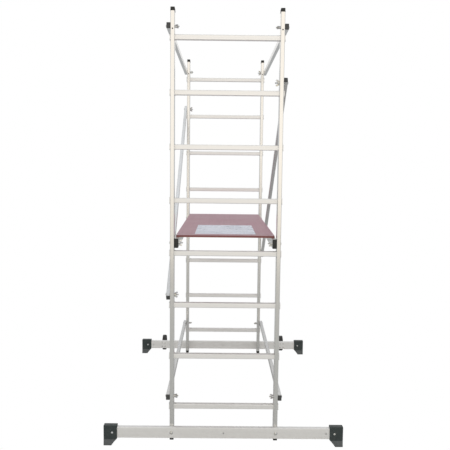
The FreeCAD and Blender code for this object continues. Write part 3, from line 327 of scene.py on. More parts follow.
METAL_DUST = (0.52, 0.5, 0.46)
SHEET_DUST = (0.5, 0.48, 0.44)
PLASTIC_DUST = (0.3, 0.29, 0.27)
RUBBER_DUST = (0.2, 0.19, 0.17)
DECK_DUST = (0.55, 0.5, 0.5)

GRAIN_SQUEEZE = 0.004
SPANGLES = 190.0
MOULD_DEPTH = 0.0003
SOLE_TOP = 0.034
SOLE_GREY = (0.12, 0.13, 0.133)
DECK_MESH_PITCH = 0.0055
PLY = 0.0022
PANEL_COLUMNS = 6
PANEL_ROWS = 4


def drawn_aluminium(name, along, tints, smooth, slope=0.0, wear=0.5, dusty=0.3):
    """Mill-finished tube: die lines along it, oxide blotches, scuffs and a little dust."""
    light, dark = tints
    material, tree, here = new_material(name)
    squeeze = [GRAIN_SQUEEZE if axis == along else 1.0 for axis in "xyz"]
    levelled = add(tree, "ShaderNodeMapping", {"Vector": here, "Rotation": (slope, 0, 0)}).outputs[0]
    stretched = add(tree, "ShaderNodeMapping", {"Vector": levelled, "Scale": squeeze}).outputs[0]
    grain = place_group(tree, GRAIN, {"Vector": stretched})
    scratches = place_group(tree, SCUFFS, {"Vector": here, "Amount": wear})["Scratches"]
    dust = place_group(tree, DUST, {"Vector": here, "Amount": dusty})["Dust"]
    oxide = mix(tree, grain["Blotches"], dark, light)
    bright = mix(tree, scratches, oxide, SCRATCHED_METAL)
    colour = mix(tree, dust, bright, METAL_DUST)
    rough = spread(tree, grain["Lines"], 0.3, 0.7, smooth - 0.05, smooth + 0.07)
    rough = math_node(tree, "ADD", rough, math_node(tree, "MULTIPLY", dust, 0.25))
    height = math_node(tree, "SUBTRACT", grain["Lines"], scratches)
    surface = add(tree, "ShaderNodeBsdfPrincipled", {
        "Base Color": colour,
        "Metallic": spread(tree, dust, 0.0, 1.0, 1.0, 0.2),
        "Roughness": rough,
        "Normal": bump(tree, height, 0.12, 0.0002),
    })
    close_with(tree, surface)
    return material


def zinc_plate():
    """Bright zinc plate: faint rainbow patches, tool marks and dulled spots."""
    material, tree, here = new_material("zinc_plate")
    light = (0.78, 0.79, 0.8)
    dark = (0.62, 0.63, 0.64)
    smooth = 0.24
    patches = spread(tree, noise(tree, here, 120, 4, 0.6), 0.35, 0.68)
    spots = spread(tree, noise(tree, here, 900, 2), 0.58, 0.7)
    warm = mix(tree, spread(tree, noise(tree, here, 60, 2), 0.4, 0.6), light, (0.78, 0.74, 0.6))
    colour = mix(tree, patches, dark, warm)
    colour = mix(tree, math_node(tree, "MULTIPLY", spots, 0.5), colour, (0.5, 0.5, 0.5))
    rough = spread(tree, patches, 0.0, 1.0, smooth + 0.14, smooth)
    surface = add(tree, "ShaderNodeBsdfPrincipled", {
        "Base Color": colour,
        "Metallic": 1.0,
        "Roughness": math_node(tree, "ADD", rough, math_node(tree, "MULTIPLY", spots, 0.2)),
        "Normal": bump(tree, noise(tree, here, 1500, 3), 0.1, 0.0002),
    })
    close_with(tree, surface)
    return material


def galvanised_sheet():
    """Hot-dip galvanised bracket: pale spangles of different brightness."""
    material, tree, here = new_material("galvanised_sheet")
    spangle = add(tree, "ShaderNodeTexVoronoi", {"Vector": here, "Scale": SPANGLES}).outputs["Color"]
    shade = add(tree, "ShaderNodeSeparateColor", {0: spangle}).outputs[0]
    dust = place_group(tree, DUST, {"Vector": here, "Amount": 0.5})["Dust"]
    colour = mix(tree, shade, (0.5, 0.51, 0.52), (0.72, 0.73, 0.74))
    surface = add(tree, "ShaderNodeBsdfPrincipled", {
        "Base Color": mix(tree, dust, colour, SHEET_DUST),
        "Metallic": spread(tree, dust, 0.0, 1.0, 0.95, 0.2),
        "Roughness": spread(tree, shade, 0.0, 1.0, 0.34, 0.52),
        "Normal": bump(tree, noise(tree, here, 700, 3), 0.12, 0.0003),
    })
    close_with(tree, surface)
    return material


def moulded_plastic(name, colour, worn, smooth, dusty, sole=None):
    """Black or dark grey injection moulding with an eroded grain, pale rubs and dust."""
    material, tree, here = new_material(name)
    grain = place_group(tree, MOULDED, {"Vector": here})
    scratches = place_group(tree, SCUFFS, {"Vector": here, "Amount": 0.7})["Scratches"]
    dust = place_group(tree, DUST, {"Vector": here, "Amount": dusty})["Dust"]
    base = mix(tree, grain["Flow"], colour, [1.25 * part for part in colour])
    base = mix(tree, scratches, base, worn)
    base = mix(tree, dust, base, PLASTIC_DUST)
    if sole:
        rubbed = spread(tree, noise(tree, here, 70, 4, 0.6), 0.2, 0.6, 0.75, 1.0)
        low = spread(tree, split(tree, here)["Z"], SOLE_TOP - 0.003, SOLE_TOP + 0.001, 1.0, 0.0)
        base = mix(tree, math_node(tree, "MULTIPLY", low, rubbed), base, sole)
    rough = spread(tree, grain["Flow"], 0.0, 1.0, smooth - 0.06, smooth + 0.08)
    surface = add(tree, "ShaderNodeBsdfPrincipled", {
        "Base Color": base,
        "Roughness": math_node(tree, "ADD", rough, math_node(tree, "MULTIPLY", dust, 0.3)),
        "Normal": bump(tree, grain["Grain"], 0.35, MOULD_DEPTH),
    })
    close_with(tree, surface)
    return material


def tyre_rubber():
    """Dull black rubber, greyed where it rolls."""
    material, tree, here = new_material("tyre_rubber")
    grime = spread(tree, noise(tree, here, 60, 5, 0.65), 0.38, 0.7)
    dust = place_group(tree, DUST, {"Vector": here, "Amount": 0.35})["Dust"]
    base = mix(tree, grime, (0.016, 0.017, 0.017), (0.035, 0.034, 0.032))
    surface = add(tree, "ShaderNodeBsdfPrincipled", {
        "Base Color": mix(tree, dust, base, RUBBER_DUST),
        "Roughness": spread(tree, grime, 0.0, 1.0, 0.5, 0.75),
        "Normal": bump(tree, noise(tree, here, 1200, 4, 0.6), 0.3, 0.0004),
    })
    close_with(tree, surface)
    return material


def film_faced_plywood():
    """Reddish phenolic film pressed with a wire pattern on top, bare plies sealed at the edges."""
    material, tree, here = new_material("film_faced_plywood")
    place = split(tree, here)
    up = facing_up(tree)
    wires = None
    for sign in (1, -1):
        across = math_node(tree, "MULTIPLY_ADD", place["Y"], sign, place["X"])
        wave = math_node(tree, "SINE", math_node(tree, "MULTIPLY", across, FULL_TURN / DECK_MESH_PITCH))
        wire = spread(tree, wave, 0.55, 0.95)
        wires = wire if wires is None else math_node(tree, "MAXIMUM", wires, wire)
    top = spread(tree, up, 0.6, 0.9)
    fibres = add(tree, "ShaderNodeMapping", {"Vector": here, "Scale": (1, 0.02, 1)}).outputs[0]
    veins = noise(tree, fibres, 130, 4, 0.6)
    cloud = spread(tree, noise(tree, here, 5, 4, 0.6), 0.32, 0.7)
    red = mix(tree, cloud, (0.39, 0.145, 0.2), (0.44, 0.185, 0.25))
    deep = math_node(tree, "MULTIPLY", spread(tree, veins, 0.45, 0.75), 0.35)
    red = mix(tree, deep, red, (0.23, 0.07, 0.09))
    scratches = place_group(tree, SCUFFS, {"Vector": here, "Amount": 0.35})["Scratches"]
    red = mix(tree, scratches, red, (0.55, 0.4, 0.4))
    dust = place_group(tree, DUST, {"Vector": here, "Amount": 0.16})["Dust"]
    face = mix(tree, dust, red, DECK_DUST)
    layer = math_node(tree, "FRACT", math_node(tree, "MULTIPLY", place["Z"], 1 / PLY))
    ply = spread(tree, layer, 0.4, 0.6)
    edge = mix(tree, ply, (0.2, 0.055, 0.055), (0.29, 0.1, 0.085))
    flat = math_node(tree, "ABSOLUTE", up)
    colour = mix(tree, spread(tree, flat, 0.4, 0.7), edge, face)
    gloss = spread(tree, cloud, 0.0, 1.0, 0.3, 0.42)
    height = math_node(tree, "MULTIPLY", wires, top)
    surface = add(tree, "ShaderNodeBsdfPrincipled", {
        "Base Color": colour,
        "Roughness": math_node(tree, "ADD", gloss, math_node(tree, "MULTIPLY", dust, 0.4)),
        "Normal": bump(tree, height, 0.12, 0.0002),
    })
    close_with(tree, surface)
    return material


def notice_film():
    """Pale laminated film with faint blank panels and nothing written on it."""
    material, tree, here = new_material("notice_film")
    low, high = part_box("deck_label")
    size = high - low
    place = split(tree, here)
    across = math_node(tree, "MULTIPLY_ADD", place["X"], 1 / size.x, -low.x / size.x)
    along = math_node(tree, "MULTIPLY_ADD", place["Y"], 1 / size.y, -low.y / size.y)
    column = math_node(tree, "FRACT", math_node(tree, "MULTIPLY", across, PANEL_COLUMNS))
    row = math_node(tree, "FRACT", math_node(tree, "MULTIPLY", along, PANEL_ROWS))
    gaps = math_node(tree, "MULTIPLY", spread(tree, column, 0.04, 0.1), spread(tree, row, 0.03, 0.08))
    panels = math_node(tree, "MULTIPLY", gaps, spread(tree, noise(tree, here, 9, 1), 0.42, 0.6))
    base = mix(tree, panels, (0.78, 0.81, 0.92), (0.64, 0.67, 0.78))
    crease = noise(tree, here, 14, 3, 0.6)
    surface = add(tree, "ShaderNodeBsdfPrincipled", {
        "Base Color": base,
        "Roughness": spread(tree, crease, 0.3, 0.7, 0.22, 0.4),
        "Normal": bump(tree, crease, 0.2, 0.002),
    })
    close_with(tree, surface)
    return material


def make_finishes():
    """Every finish of the tower, by the short name that pieces call for it."""
    return {
        "stile": drawn_aluminium("stile_aluminium", "z", LADDER_TINTS, 0.2),
        # The rungs' brighter tints are in part painted light.
        "rungs": drawn_aluminium("rung_aluminium", "x", BRIGHTER_WITH_PAINTED_LIGHT_TINTS, 0.5, wear=0.8),
        "deck_rail": drawn_aluminium("rail_aluminium", "y", LADDER_TINTS, 0.22),
        "cross_members": drawn_aluminium("cross_member_aluminium", "x", LADDER_TINTS, 0.3),
        # The beams' brighter tints are in part painted light.
        "beam": drawn_aluminium("beam_aluminium", "x", BRIGHTER_WITH_PAINTED_LIGHT_TINTS, 0.6, dusty=0.15),
        "level": drawn_aluminium("bracing_aluminium", "y", PALE_TINTS, 0.24),
        "left_diagonal": drawn_aluminium("left_diagonal_aluminium", "y", PALE_TINTS, 0.24,
                                         slope=-brace_slope("left")),
        "right_diagonal": drawn_aluminium("right_diagonal_aluminium", "y", GREY_TINTS, 0.24,
                                          slope=-brace_slope("right")),
        "zinc": zinc_plate(),
        "bracket": galvanised_sheet(),
        "foot": moulded_plastic("foot_plastic", (0.018, 0.03, 0.03), (0.12, 0.12, 0.12), 0.46, 0.15,
                                sole=SOLE_GREY),
        "cap": moulded_plastic("cap_plastic", (0.012, 0.013, 0.012), (0.08, 0.08, 0.08), 0.45, 0.1),
        # The same cap plastic with a lighter base: painted sheen, for the softbox light that the caps'
        # faces catch.
        "bracing_cap": moulded_plastic("bracing_cap_plastic_painted_sheen", (0.05, 0.051, 0.05), (0.12, 0.12, 0.12),
                                       0.42, 0.1),
        "tyre": tyre_rubber(),
        "hub": moulded_plastic("hub_plastic", (0.06, 0.062, 0.064), (0.16, 0.16, 0.16), 0.5, 0.2),
        "deck_board": film_faced_plywood(),
        "deck_label": notice_film(),
    }


FINISH_OF = {
    "bracing_aluminium": "level", "zinc_steel": "zinc", "bracket_steel": "bracket", "foot_plastic": "foot",
    "cap_plastic": "cap", "tyre_rubber": "tyre", "hub_plastic": "hub", "beam_aluminium": "beam",
    "deck_plywood": "deck_board", "notice_film": "deck_label",
}


def dress_nodes():
    """Gives every piece of the frame its finish, by its slot in the record."""
    for name, node in frame["nodes"].items():
        slot = node.data.materials[0].name.split(".")[0]
        finish = FINISH_OF.get(slot)
        if slot == "ladder_aluminium":
            finish = next(kind for kind in ("stile", "rungs", "deck_rail", "cross_members") if kind in name)
        if name.endswith("diagonal"):
            finish = name
        node.data.materials[0] = FINISHES[finish]


# Making pieces -----------------------------------------------------------------------------------

CORNER_STEPS = 5
SHARP_FOLD = math.radians(32)
WELD = 0.00002


def new_piece(name, made, finish, body, stands_for):
    """Ends a piece's mesh work with every face outwards, and places it."""
    bmesh.ops.recalc_face_normals(made, faces=made.faces)
    mesh = bpy.data.meshes.new(name)
    made.to_mesh(mesh)
    made.free()
    place_piece(name, mesh, finish, body, stands_for)


def place_piece(name, mesh, finish, body, stands_for):
    """Smooth shading up to sharp folds, then the piece's finish and body, and the nodes it replaces hidden.
    """
    mesh.shade_smooth()
    mesh.set_sharp_from_angle(angle=SHARP_FOLD)
    mesh.materials.clear()
    mesh.materials.append(FINISHES[finish])
    piece = bpy.data.objects.new(name, mesh)
    bpy.context.scene.collection.objects.link(piece)
    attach(piece, body)
    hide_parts(*stands_for)


def skin(made, rings, joined=False):
    """Faces between rings of points; a ring of one is a tip, and joined closes the last to the first."""
    pairs = list(zip(rings, rings[1:]))
    if joined:
        pairs.append((rings[-1], rings[0]))
    for lower, upper in pairs:
        for step in range(max(len(lower), len(upper))):
            corners = [lower[step % len(lower)], lower[(step + 1) % len(lower)],
                       upper[(step + 1) % len(upper)], upper[step % len(upper)]]
            made.faces.new(dict.fromkeys(corners))


def turned(made, profile, steps, place, joined=False):
    """Turns a profile about X: each entry is how far along and out, numbers or functions of the turn."""
    rings = []
    for along, out in profile:
        ring = []
        for step in range(1 if out == 0 else steps):
            turn = FULL_TURN * step / steps
            x = along(turn) if callable(along) else along
            radius = out(turn) if callable(out) else out
            point = Vector((x, radius * math.cos(turn), radius * math.sin(turn)))
            ring.append(made.verts.new(place @ (point * MM)))
        rings.append(ring)
    skin(made, rings, joined)


def rounded_outline(width, depth, radius):
    """Points round a rectangle with rounded corners, as many for every size."""
    points = []
    for corner, (right, far) in enumerate(((1, 1), (-1, 1), (-1, -1), (1, -1))):
        for step in range(CORNER_STEPS + 1):
            turn = QUARTER * (corner + step / CORNER_STEPS)
            points.append((right * (width / 2 - radius) + radius * math.cos(turn),
                           far * (depth / 2 - radius) + radius * math.sin(turn)))
    return points


def stacked(made, levels, place):
    """Rounded rectangles one above another: height, width, depth, corner radius and shift of each."""
    rings = []
    for height, width, depth, radius, shift in levels:
        ring = [made.verts.new(place @ (Vector((x + shift, y, height)) * MM))
                for x, y in rounded_outline(width, depth, radius)]
        rings.append(ring)
    skin(made, rings)
    made.faces.new(rings[0])
    made.faces.new(rings[-1])


def aimed(point, direction):
    """A place whose own X axis points along a direction."""
    return Matrix.Translation(point) @ direction.to_track_quat("X", "Z").to_matrix().to_4x4()


def solids_of(node):
    """The box of each separate solid of a CAD node, from front to rear, then upwards, then across."""
    made = bmesh.new()
    made.from_mesh(frame["nodes"][node].data)
    bmesh.ops.remove_doubles(made, verts=made.verts, dist=WELD)
    seen = set()
    boxes = []
    for start in made.verts:
        if start in seen:
            continue
        seen.add(start)
        waiting = [start]
        low = start.co.copy()
        high = start.co.copy()
        while waiting:
            point = waiting.pop()
            low = Vector(map(min, low, point.co))
            high = Vector(map(max, high, point.co))
            for edge in point.link_edges:
                other = edge.other_vert(point)
                if other not in seen:
                    seen.add(other)
                    waiting.append(other)
        boxes.append((low, high))
    made.free()
    return sorted(boxes, key=lambda box: tuple(round(v, 4) for v in (box[0].y, box[0].z, box[0].x)))


def outward(low, high, axis):
    """Away from the tower's middle, across it or along it, for a solid with this box."""
    middle = (low + high) / 2
    if axis == "x":
        return ACROSS if middle.x > 0 else -ACROSS
    return ALONG if middle.y > MIDDLE_Y else -ALONG


# Fasteners ---------------------------------------------------------------------------------------

THREAD_PITCH = 1.25
THREAD_DEPTH = 0.62
THREAD_RINGS = 6
BOLT_STEPS = 20
DOME_STEPS = 7

BOLT_HEAD = {"width": 20, "rise": 5, "rim": 0.7}
BOLT_SHANK = 4
BOLT_CREST = 3.97
RIVET_RIM = 0.4


def dome(width, rise, rim):
    """Profile of a domed head down to the edge of its seat, with a low upright rim."""
    radius = width / 2
    height = rise - rim
    ball = (radius ** 2 + height ** 2) / (2 * height)
    widest = math.asin(radius / ball)
    points = []
    for step in range(1, DOME_STEPS + 1):
        lean = widest * step / DOME_STEPS
        points.append((rise - ball * (1 - math.cos(lean)), ball * math.sin(lean)))
    return [*points, (rim * 0.25, radius), (0, radius - 0.3)]


def thread(start, stop, crest):
    """Profile of a helical thread between two distances along, ending in a chamfered tip."""
    def winding(along):
        def radius(turn):
            phase = (along / THREAD_PITCH - turn / FULL_TURN) % 1
            return crest - THREAD_DEPTH * abs(2 * phase - 1)
        return radius

    count = int((start - stop - 1) / THREAD_PITCH * THREAD_RINGS)
    points = []
    for step in range(count + 1):
        along = start - step * THREAD_PITCH / THREAD_RINGS
        points.append((along, winding(along)))
    return [*points, (stop + 0.4, crest - THREAD_DEPTH), (stop, crest - THREAD_DEPTH - 0.4), (stop, 0)]


def bolt_profile(length, tail):
    """Domed head, plain shank, and a threaded tail of a given length."""
    return [(BOLT_HEAD["rise"], 0), *dome(**BOLT_HEAD), (0, BOLT_SHANK), (tail - length, BOLT_SHANK),
            *thread(tail - length - 0.2, -length, BOLT_CREST)]


def make_bolts():
    """Domed bolts: across each ladder for the members, and along the tower for the beams."""
    for node, axis, tail in (("carriage_bolts", "x", 24), ("beam_bolts", "y", 12)):
        made = bmesh.new()
        for low, high in solids_of(node):
            way = outward(low, high, axis)
            middle = (low + high) / 2
            reach = abs((high - low).dot(way)) / MM
            length = reach - BOLT_HEAD["rise"]
            seat = middle + way * (reach / 2 - BOLT_HEAD["rise"]) * MM
            turned(made, bolt_profile(length, tail), BOLT_STEPS, aimed(seat, way))
        new_piece(f"{node}_threaded", made, "zinc", "tower", [node])


def rivet_profile(grip, shank, width, rise):
    """Blind rivet: a head with a small mandrel dimple outside, a plain dome inside."""
    head = dome(width, rise, RIVET_RIM)[1:]
    tail = [(-grip - along, out) for along, out in reversed(dome(width, rise, RIVET_RIM))]
    return [(rise - 0.7, 0), (rise - 0.7, 0.9), (rise - 0.25, 1.25), (rise - 0.15, 1.6), *head,
            (0, shank), (-grip, shank), *tail, (-grip - rise, 0)]


def make_rivets():
    """Pulled rivets of the feet and of the wheel brackets."""
    for node, shank, width, rise in (("foot_rivets", 3, 12, 3), ("bracket_rivets", 2.5, 10, 2.5)):
        made = bmesh.new()
        for low, high in solids_of(node):
            way = outward(low, high, "y")
            reach = (high.y - low.y) / MM
            seat = (low + high) / 2 + way * (reach / 2 - rise) * MM
            turned(made, rivet_profile(reach - 2 * rise, shank, width, rise), BOLT_STEPS, aimed(seat, way))
        new_piece(f"{node}_pulled", made, "zinc", "tower", [node])


NUT_FLAT = 6.5
NUT_CHAMFER = 0.8
NUT_BORE = 4.05
NUT_MOUTH = 4.7
NUT_STEPS = 36


def make_hex_nuts():
    """Plain nuts with both faces chamfered back to a circle."""
    sixth = FULL_TURN / 6

    def hexagon(turn):
        return NUT_FLAT / math.cos(turn % sixth - sixth / 2)

    def chamfer(turn):
        return min(hexagon(turn), NUT_FLAT * 0.985)

    made = bmesh.new()
    for low, high in solids_of("beam_nuts"):
        way = outward(low, high, "y")
        height = (high.y - low.y) / MM
        seat = (low + high) / 2 + way * height / 2 * MM
        profile = [(0, chamfer), (-NUT_CHAMFER, hexagon), (NUT_CHAMFER - height, hexagon),
                   (-height, chamfer), (-height, NUT_MOUTH), (0.5 - height, NUT_BORE),
                   (-0.5, NUT_BORE), (0, NUT_MOUTH)]
        turned(made, profile, NUT_STEPS, aimed(seat, way), joined=True)
    new_piece("beam_nuts_chamfered", made, "zinc", "tower", ["beam_nuts"])


SCREW_SUNK = 0.1
RECESS_DEPTH = 1.3
RECESS_ARM = 0.55
SCREW_CREST = 2.38
SCREW_STEPS = 32


def make_deck_screws():
    """Countersunk screws with a cross recess in the head."""
    def recess(out):
        def depth(turn):
            off_arm = abs((turn + QUARTER / 2) % QUARTER - QUARTER / 2) * out
            return -SCREW_SUNK if off_arm > RECESS_ARM else -RECESS_DEPTH
        return depth

    rings = [(recess(out), out) for out in (0.7, 1.2, 1.7, 2.2)]
    made = bmesh.new()
    for low, high in solids_of("deck_screws"):
        middle = (low + high) / 2
        top = Vector((middle.x, middle.y, high.z))
        length = (high.z - low.z) / MM
        profile = [(-RECESS_DEPTH, 0), *rings, (-SCREW_SUNK, 2.8), (-SCREW_SUNK, 3.9), (-0.25, 4.4),
                   (-2.2, 2.4), *thread(-3, -length, SCREW_CREST)]
        turned(made, profile, SCREW_STEPS, aimed(top, UP))
    new_piece("deck_screws_crossed", made, "zinc", "tower", ["deck_screws"])


WING_VOXEL = 0.00045
WING_ROOT = (-4.9, 9.1)
WING_TIP = (-12, 13)
WING_RADIUS = 4.85
WING_EDGE = ((-1.5, 0.9), (-1.25, 0.35), (-0.8, 0), (0.8, 0), (1.25, 0.35), (1.5, 0.9))
WING_COLLAR = [(-0.1, 4.9), (-0.1, 7.1), (-0.5, 7.4), (-3.2, 7.4), (-8.3, 6.1), (-8.8, 5.6), (-8.8, 4.7),
               (-8.3, 4.25), (-0.7, 4.25)]
COLLAR_STEPS = 48
CAPSULE_STEPS = 12


def capsule(start, stop, radius):
    """Points round a flat bar with round ends, between two points of a plane."""
    lean = math.atan2(stop[1] - start[1], stop[0] - start[0])
    points = []
    for middle, first in ((stop, lean - QUARTER), (start, lean + QUARTER)):
        for step in range(CAPSULE_STEPS + 1):
            turn = first + math.pi * step / CAPSULE_STEPS
            points.append((middle[0] + radius * math.cos(turn), middle[1] + radius * math.sin(turn)))
    return points


def wing_nut_mesh():
    """One cast wing nut, seat at zero and wings towards -X: parts fused and softened like a casting."""
    made = bmesh.new()
    turned(made, WING_COLLAR, COLLAR_STEPS, Matrix(), joined=True)
    for side in SIDES.values():
        rings = []
        for height, inset in WING_EDGE:
            outline = capsule(WING_ROOT, WING_TIP, WING_RADIUS - inset)
            rings.append([made.verts.new(Vector((x, side * y, height)) * MM) for x, y in outline])
        skin(made, rings)
        made.faces.new(rings[0])
        made.faces.new(rings[-1])
    bmesh.ops.recalc_face_normals(made, faces=made.faces)
    mesh = bpy.data.meshes.new("wing_nut_parts")
    made.to_mesh(mesh)
    made.free()
    rough = bpy.data.objects.new("wing_nut_parts", mesh)
    bpy.context.scene.collection.objects.link(rough)
    fused = rough.modifiers.new("fuse", "REMESH")
    fused.mode = "VOXEL"
    fused.voxel_size = WING_VOXEL
    softened = rough.modifiers.new("soften", "SMOOTH")
    softened.factor = 0.5
    softened.iterations = 4
    cast = bpy.data.meshes.new_from_object(rough.evaluated_get(bpy.context.evaluated_depsgraph_get()))
    bpy.data.objects.remove(rough)
    return cast


def wing_turn(node):
    """How far a CAD wing nut is turned about X: the long way of its points, seen along the bolt."""
    points = [point.co for point in frame["nodes"][node].data.vertices]
    low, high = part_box(node)
    middle = (low + high) / 2
    across = sum((p.y - middle.y) ** 2 - (p.z - middle.z) ** 2 for p in points)
    skew = sum(2 * (p.y - middle.y) * (p.z - middle.z) for p in points)
    return math.atan2(skew, across) / 2


def make_wing_nuts():
    """The same casting on all sixteen bolts, each turned as its CAD nut is."""
    cast = wing_nut_mesh()
    for node in sorted(name for name in frame["nodes"] if name.endswith("_wing_nut")):
        low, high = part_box(node)
        middle = (low + high) / 2
        side = 1 if middle.x > 0 else -1
        seat = Vector((high.x if side > 0 else low.x, middle.y, middle.z))
        mesh = cast.copy()
        turn = Matrix.Rotation(wing_turn(node), 4, "X")
        facing = Matrix.Rotation(0 if side > 0 else math.pi, 4, "Z")
        mesh.transform(Matrix.Translation(seat) @ turn @ facing)
        place_piece(f"{node}_cast", mesh, "zinc", node.replace("_wing_nut", "_nut"), [node])


# Moulded pieces ----------------------------------------------------------------------------------

CROWN_STEPS = 5
STILE_CAP = 19
STILE_PLUG = 17
RAIL_CAP = {"width": 22, "depth": 50, "thick": 4, "plug": 13, "wall": 3.9}
BRACING_CAP = {"width": 20, "depth": 30, "thick": 3, "plug": 13, "wall": 3.3}


def crown(height, width, depth, radius, rounding):
    """Levels of a rounded edge that ends at a height."""
    levels = []
    for step in range(CROWN_STEPS + 1):
        lean = QUARTER * step / CROWN_STEPS
        inset = rounding * (1 - math.cos(lean))
        levels.append((height - rounding * (1 - math.sin(lean)), width - 2 * inset, depth - 2 * inset,
                       max(radius - inset, 0.4), 0))
    return levels


def plug_levels(length, width, depth, corner):
    """Levels of a cap's plug, from its tapered tip inside the tube up to the tube's end."""
    return [(-length, width - 1.6, depth - 1.6, corner, 0), (2 - length, width, depth, corner, 0),
            (0, width, depth, corner, 0)]


def make_stile_caps():
    """Tall caps with a lip, pushed into both ends of every stile."""
    for node, way in (("stile_top_caps", 1), ("stile_base_caps", -1)):
        made = bmesh.new()
        for low, high in solids_of(node):
            middle = (low + high) / 2
            width = (high.x - low.x) / MM
            depth = (high.y - low.y) / MM
            end = high.z if way > 0 else low.z
            place = Matrix.Translation((middle.x, middle.y, end - way * STILE_CAP * MM))
            if way < 0:
                place = place @ Matrix.Rotation(math.pi, 4, "X")
            levels = [*plug_levels(STILE_PLUG, width - 5.9, depth - 5.9, 2),
                      (0, width - 0.8, depth - 0.8, 3.6, 0), (0.4, width, depth, 4, 0),
                      (2.5, width, depth, 4, 0), (3, width - 0.7, depth - 0.7, 3.7, 0),
                      (3.3, width - 2, depth - 2, 3, 0), (6, width - 2, depth - 2, 3, 0),
                      *crown(STILE_CAP, width - 2, depth - 2, 3, 2.5)]
            stacked(made, levels, place)
        new_piece(f"{node}_moulded", made, "cap", "tower", [node])


def end_cap(made, place, width, depth, thick, plug, wall):
    """Flat cap on a tube's end: a rounded plate with a low pillow on it, and its plug inside."""
    levels = [*plug_levels(plug, width - wall, depth - wall, 1.4),
              (0, width - 0.6, depth - 0.6, 2.2, 0), (0.4, width, depth, 2.5, 0),
              *crown(thick * 0.72, width, depth, 2.5, 1.1)[1:],
              (thick * 0.76, width - 4.5, depth - 4.5, 1.6, 0),
              *crown(thick, width - 5, depth - 5, 1.5, thick * 0.22)[1:]]
    stacked(made, levels, place)


def make_deck_rail_caps():
    """A cap in each end of both deck rails."""
    made = bmesh.new()
    for side in SIDES:
        low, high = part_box(f"{side}_deck_rail")
        middle = (low + high) / 2
        for end, lean in ((low.y, QUARTER), (high.y, -QUARTER)):
            place = Matrix.Translation((middle.x, end, middle.z)) @ Matrix.Rotation(lean, 4, "X")
            end_cap(made, place, **RAIL_CAP)
    new_piece("deck_rail_caps_moulded", made, "cap", "tower", ["deck_rail_caps"])


def joint_place(name):
    """Where a joint turns, from the record."""
    joint = next(joint for joint in frame["record"]["behaviour"]["joints"] if joint["name"] == name)
    return Vector(joint["pos_m"])


def brace_slope(side):
    """How steeply a diagonal climbs towards the rear, from the bolts at its two ends."""
    rise = joint_place(f"rear_{side}_diagonal_nut_turn") - joint_place(f"front_{side}_diagonal_nut_turn")
    return math.atan2(rise.z, rise.y)


def make_bracing_caps():
    """A cap in each end of the guard rails, struts and diagonals, square to its own tube."""
    made = bmesh.new()
    tall = BRACING_CAP["depth"]
    for side in SIDES:
        for member in ("guard_rail", "strut", "diagonal"):
            low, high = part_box(f"{side}_{member}")
            middle = (low + high) / 2
            slope = brace_slope(side) if member == "diagonal" else 0
            half = ((high.y - low.y) / 2 / MM - tall / 2 * abs(math.sin(slope))) / math.cos(slope) * MM
            for end in ENDS.values():
                tube = Matrix.Translation(middle) @ Matrix.Rotation(slope, 4, "X")
                cap = Matrix.Translation((0, end * half, 0)) @ Matrix.Rotation(-end * QUARTER, 4, "X")
                end_cap(made, tube @ cap, **BRACING_CAP)
    # The bracing caps' finish is a lighter copy of the cap plastic, a painted sheen.
    new_piece("bracing_caps_moulded", made, "bracing_cap", "tower", ["bracing_caps"])


FOOT = {"length": 72.5, "height": 110, "half": 16.2, "flare": 4, "heel": 30, "heel_top": 37, "edge": 2.5}
BEAM_SOCKET = {"height": 60.4, "depth": 25.4, "corner": 3.2}
SOCKET_DEEP = 67.5


def foot_level(height, inset=0.0):
    """One slice of a foot: cut back in a curve at its heel, and flared towards its sole."""
    low = min(height / FOOT["heel_top"], 1)
    heel = FOOT["heel"] * (1 - low ** 1.15)
    spread_out = FOOT["flare"] * (1 - max(low - 0.13, 0) / 0.87) ** 1.4
    return (height, FOOT["length"] - heel - 2 * inset, 2 * (FOOT["half"] + spread_out - inset),
            max(FOOT["edge"] - inset, 0.5), (FOOT["length"] + heel) / 2)


def make_foot(node):
    """Moulded foot: a grooved sole, a heel cut back in a curve, and a socket on the beam's end."""
    low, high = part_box(node)
    middle = (low + high) / 2
    side = 1 if middle.x > 0 else -1
    inner = low.x if side > 0 else high.x
    place = Matrix.Translation((inner, middle.y, low.z))
    if side < 0:
        place = place @ Matrix.Rotation(math.pi, 4, "Z")
    top = FOOT["height"] - FOOT["edge"]
    sole = [foot_level(0, 0.9), foot_level(0.3, 0.35), foot_level(0.9), foot_level(2.6),
            foot_level(2.9, 0.8), foot_level(3.9, 0.8), foot_level(4.2)]
    slices = [foot_level(5 + 4 * step) for step in range(9)]
    roof = []
    for step in range(CROWN_STEPS + 1):
        lean = QUARTER * step / CROWN_STEPS
        roof.append(foot_level(top + FOOT["edge"] * math.sin(lean), FOOT["edge"] * (1 - math.cos(lean))))
    made = bmesh.new()
    stacked(made, [*sole, *slices, foot_level(40), foot_level(70), foot_level(101), *roof], place)

    beam_low, beam_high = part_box(f"{node.split('_')[0]}_beam")
    beam_z = ((beam_low.z + beam_high.z) / 2 - low.z) / MM
    socket = bmesh.new()
    lying = place @ Matrix.Translation((0, 0, beam_z * MM)) @ Matrix.Rotation(QUARTER, 4, "Y")
    stacked(socket, [(height, *BEAM_SOCKET.values(), 0) for height in (-2, SOCKET_DEEP)], lying)
    mesh = cut_out(made, socket)
    place_piece(f"{node}_moulded", mesh, "foot", "tower", [node])


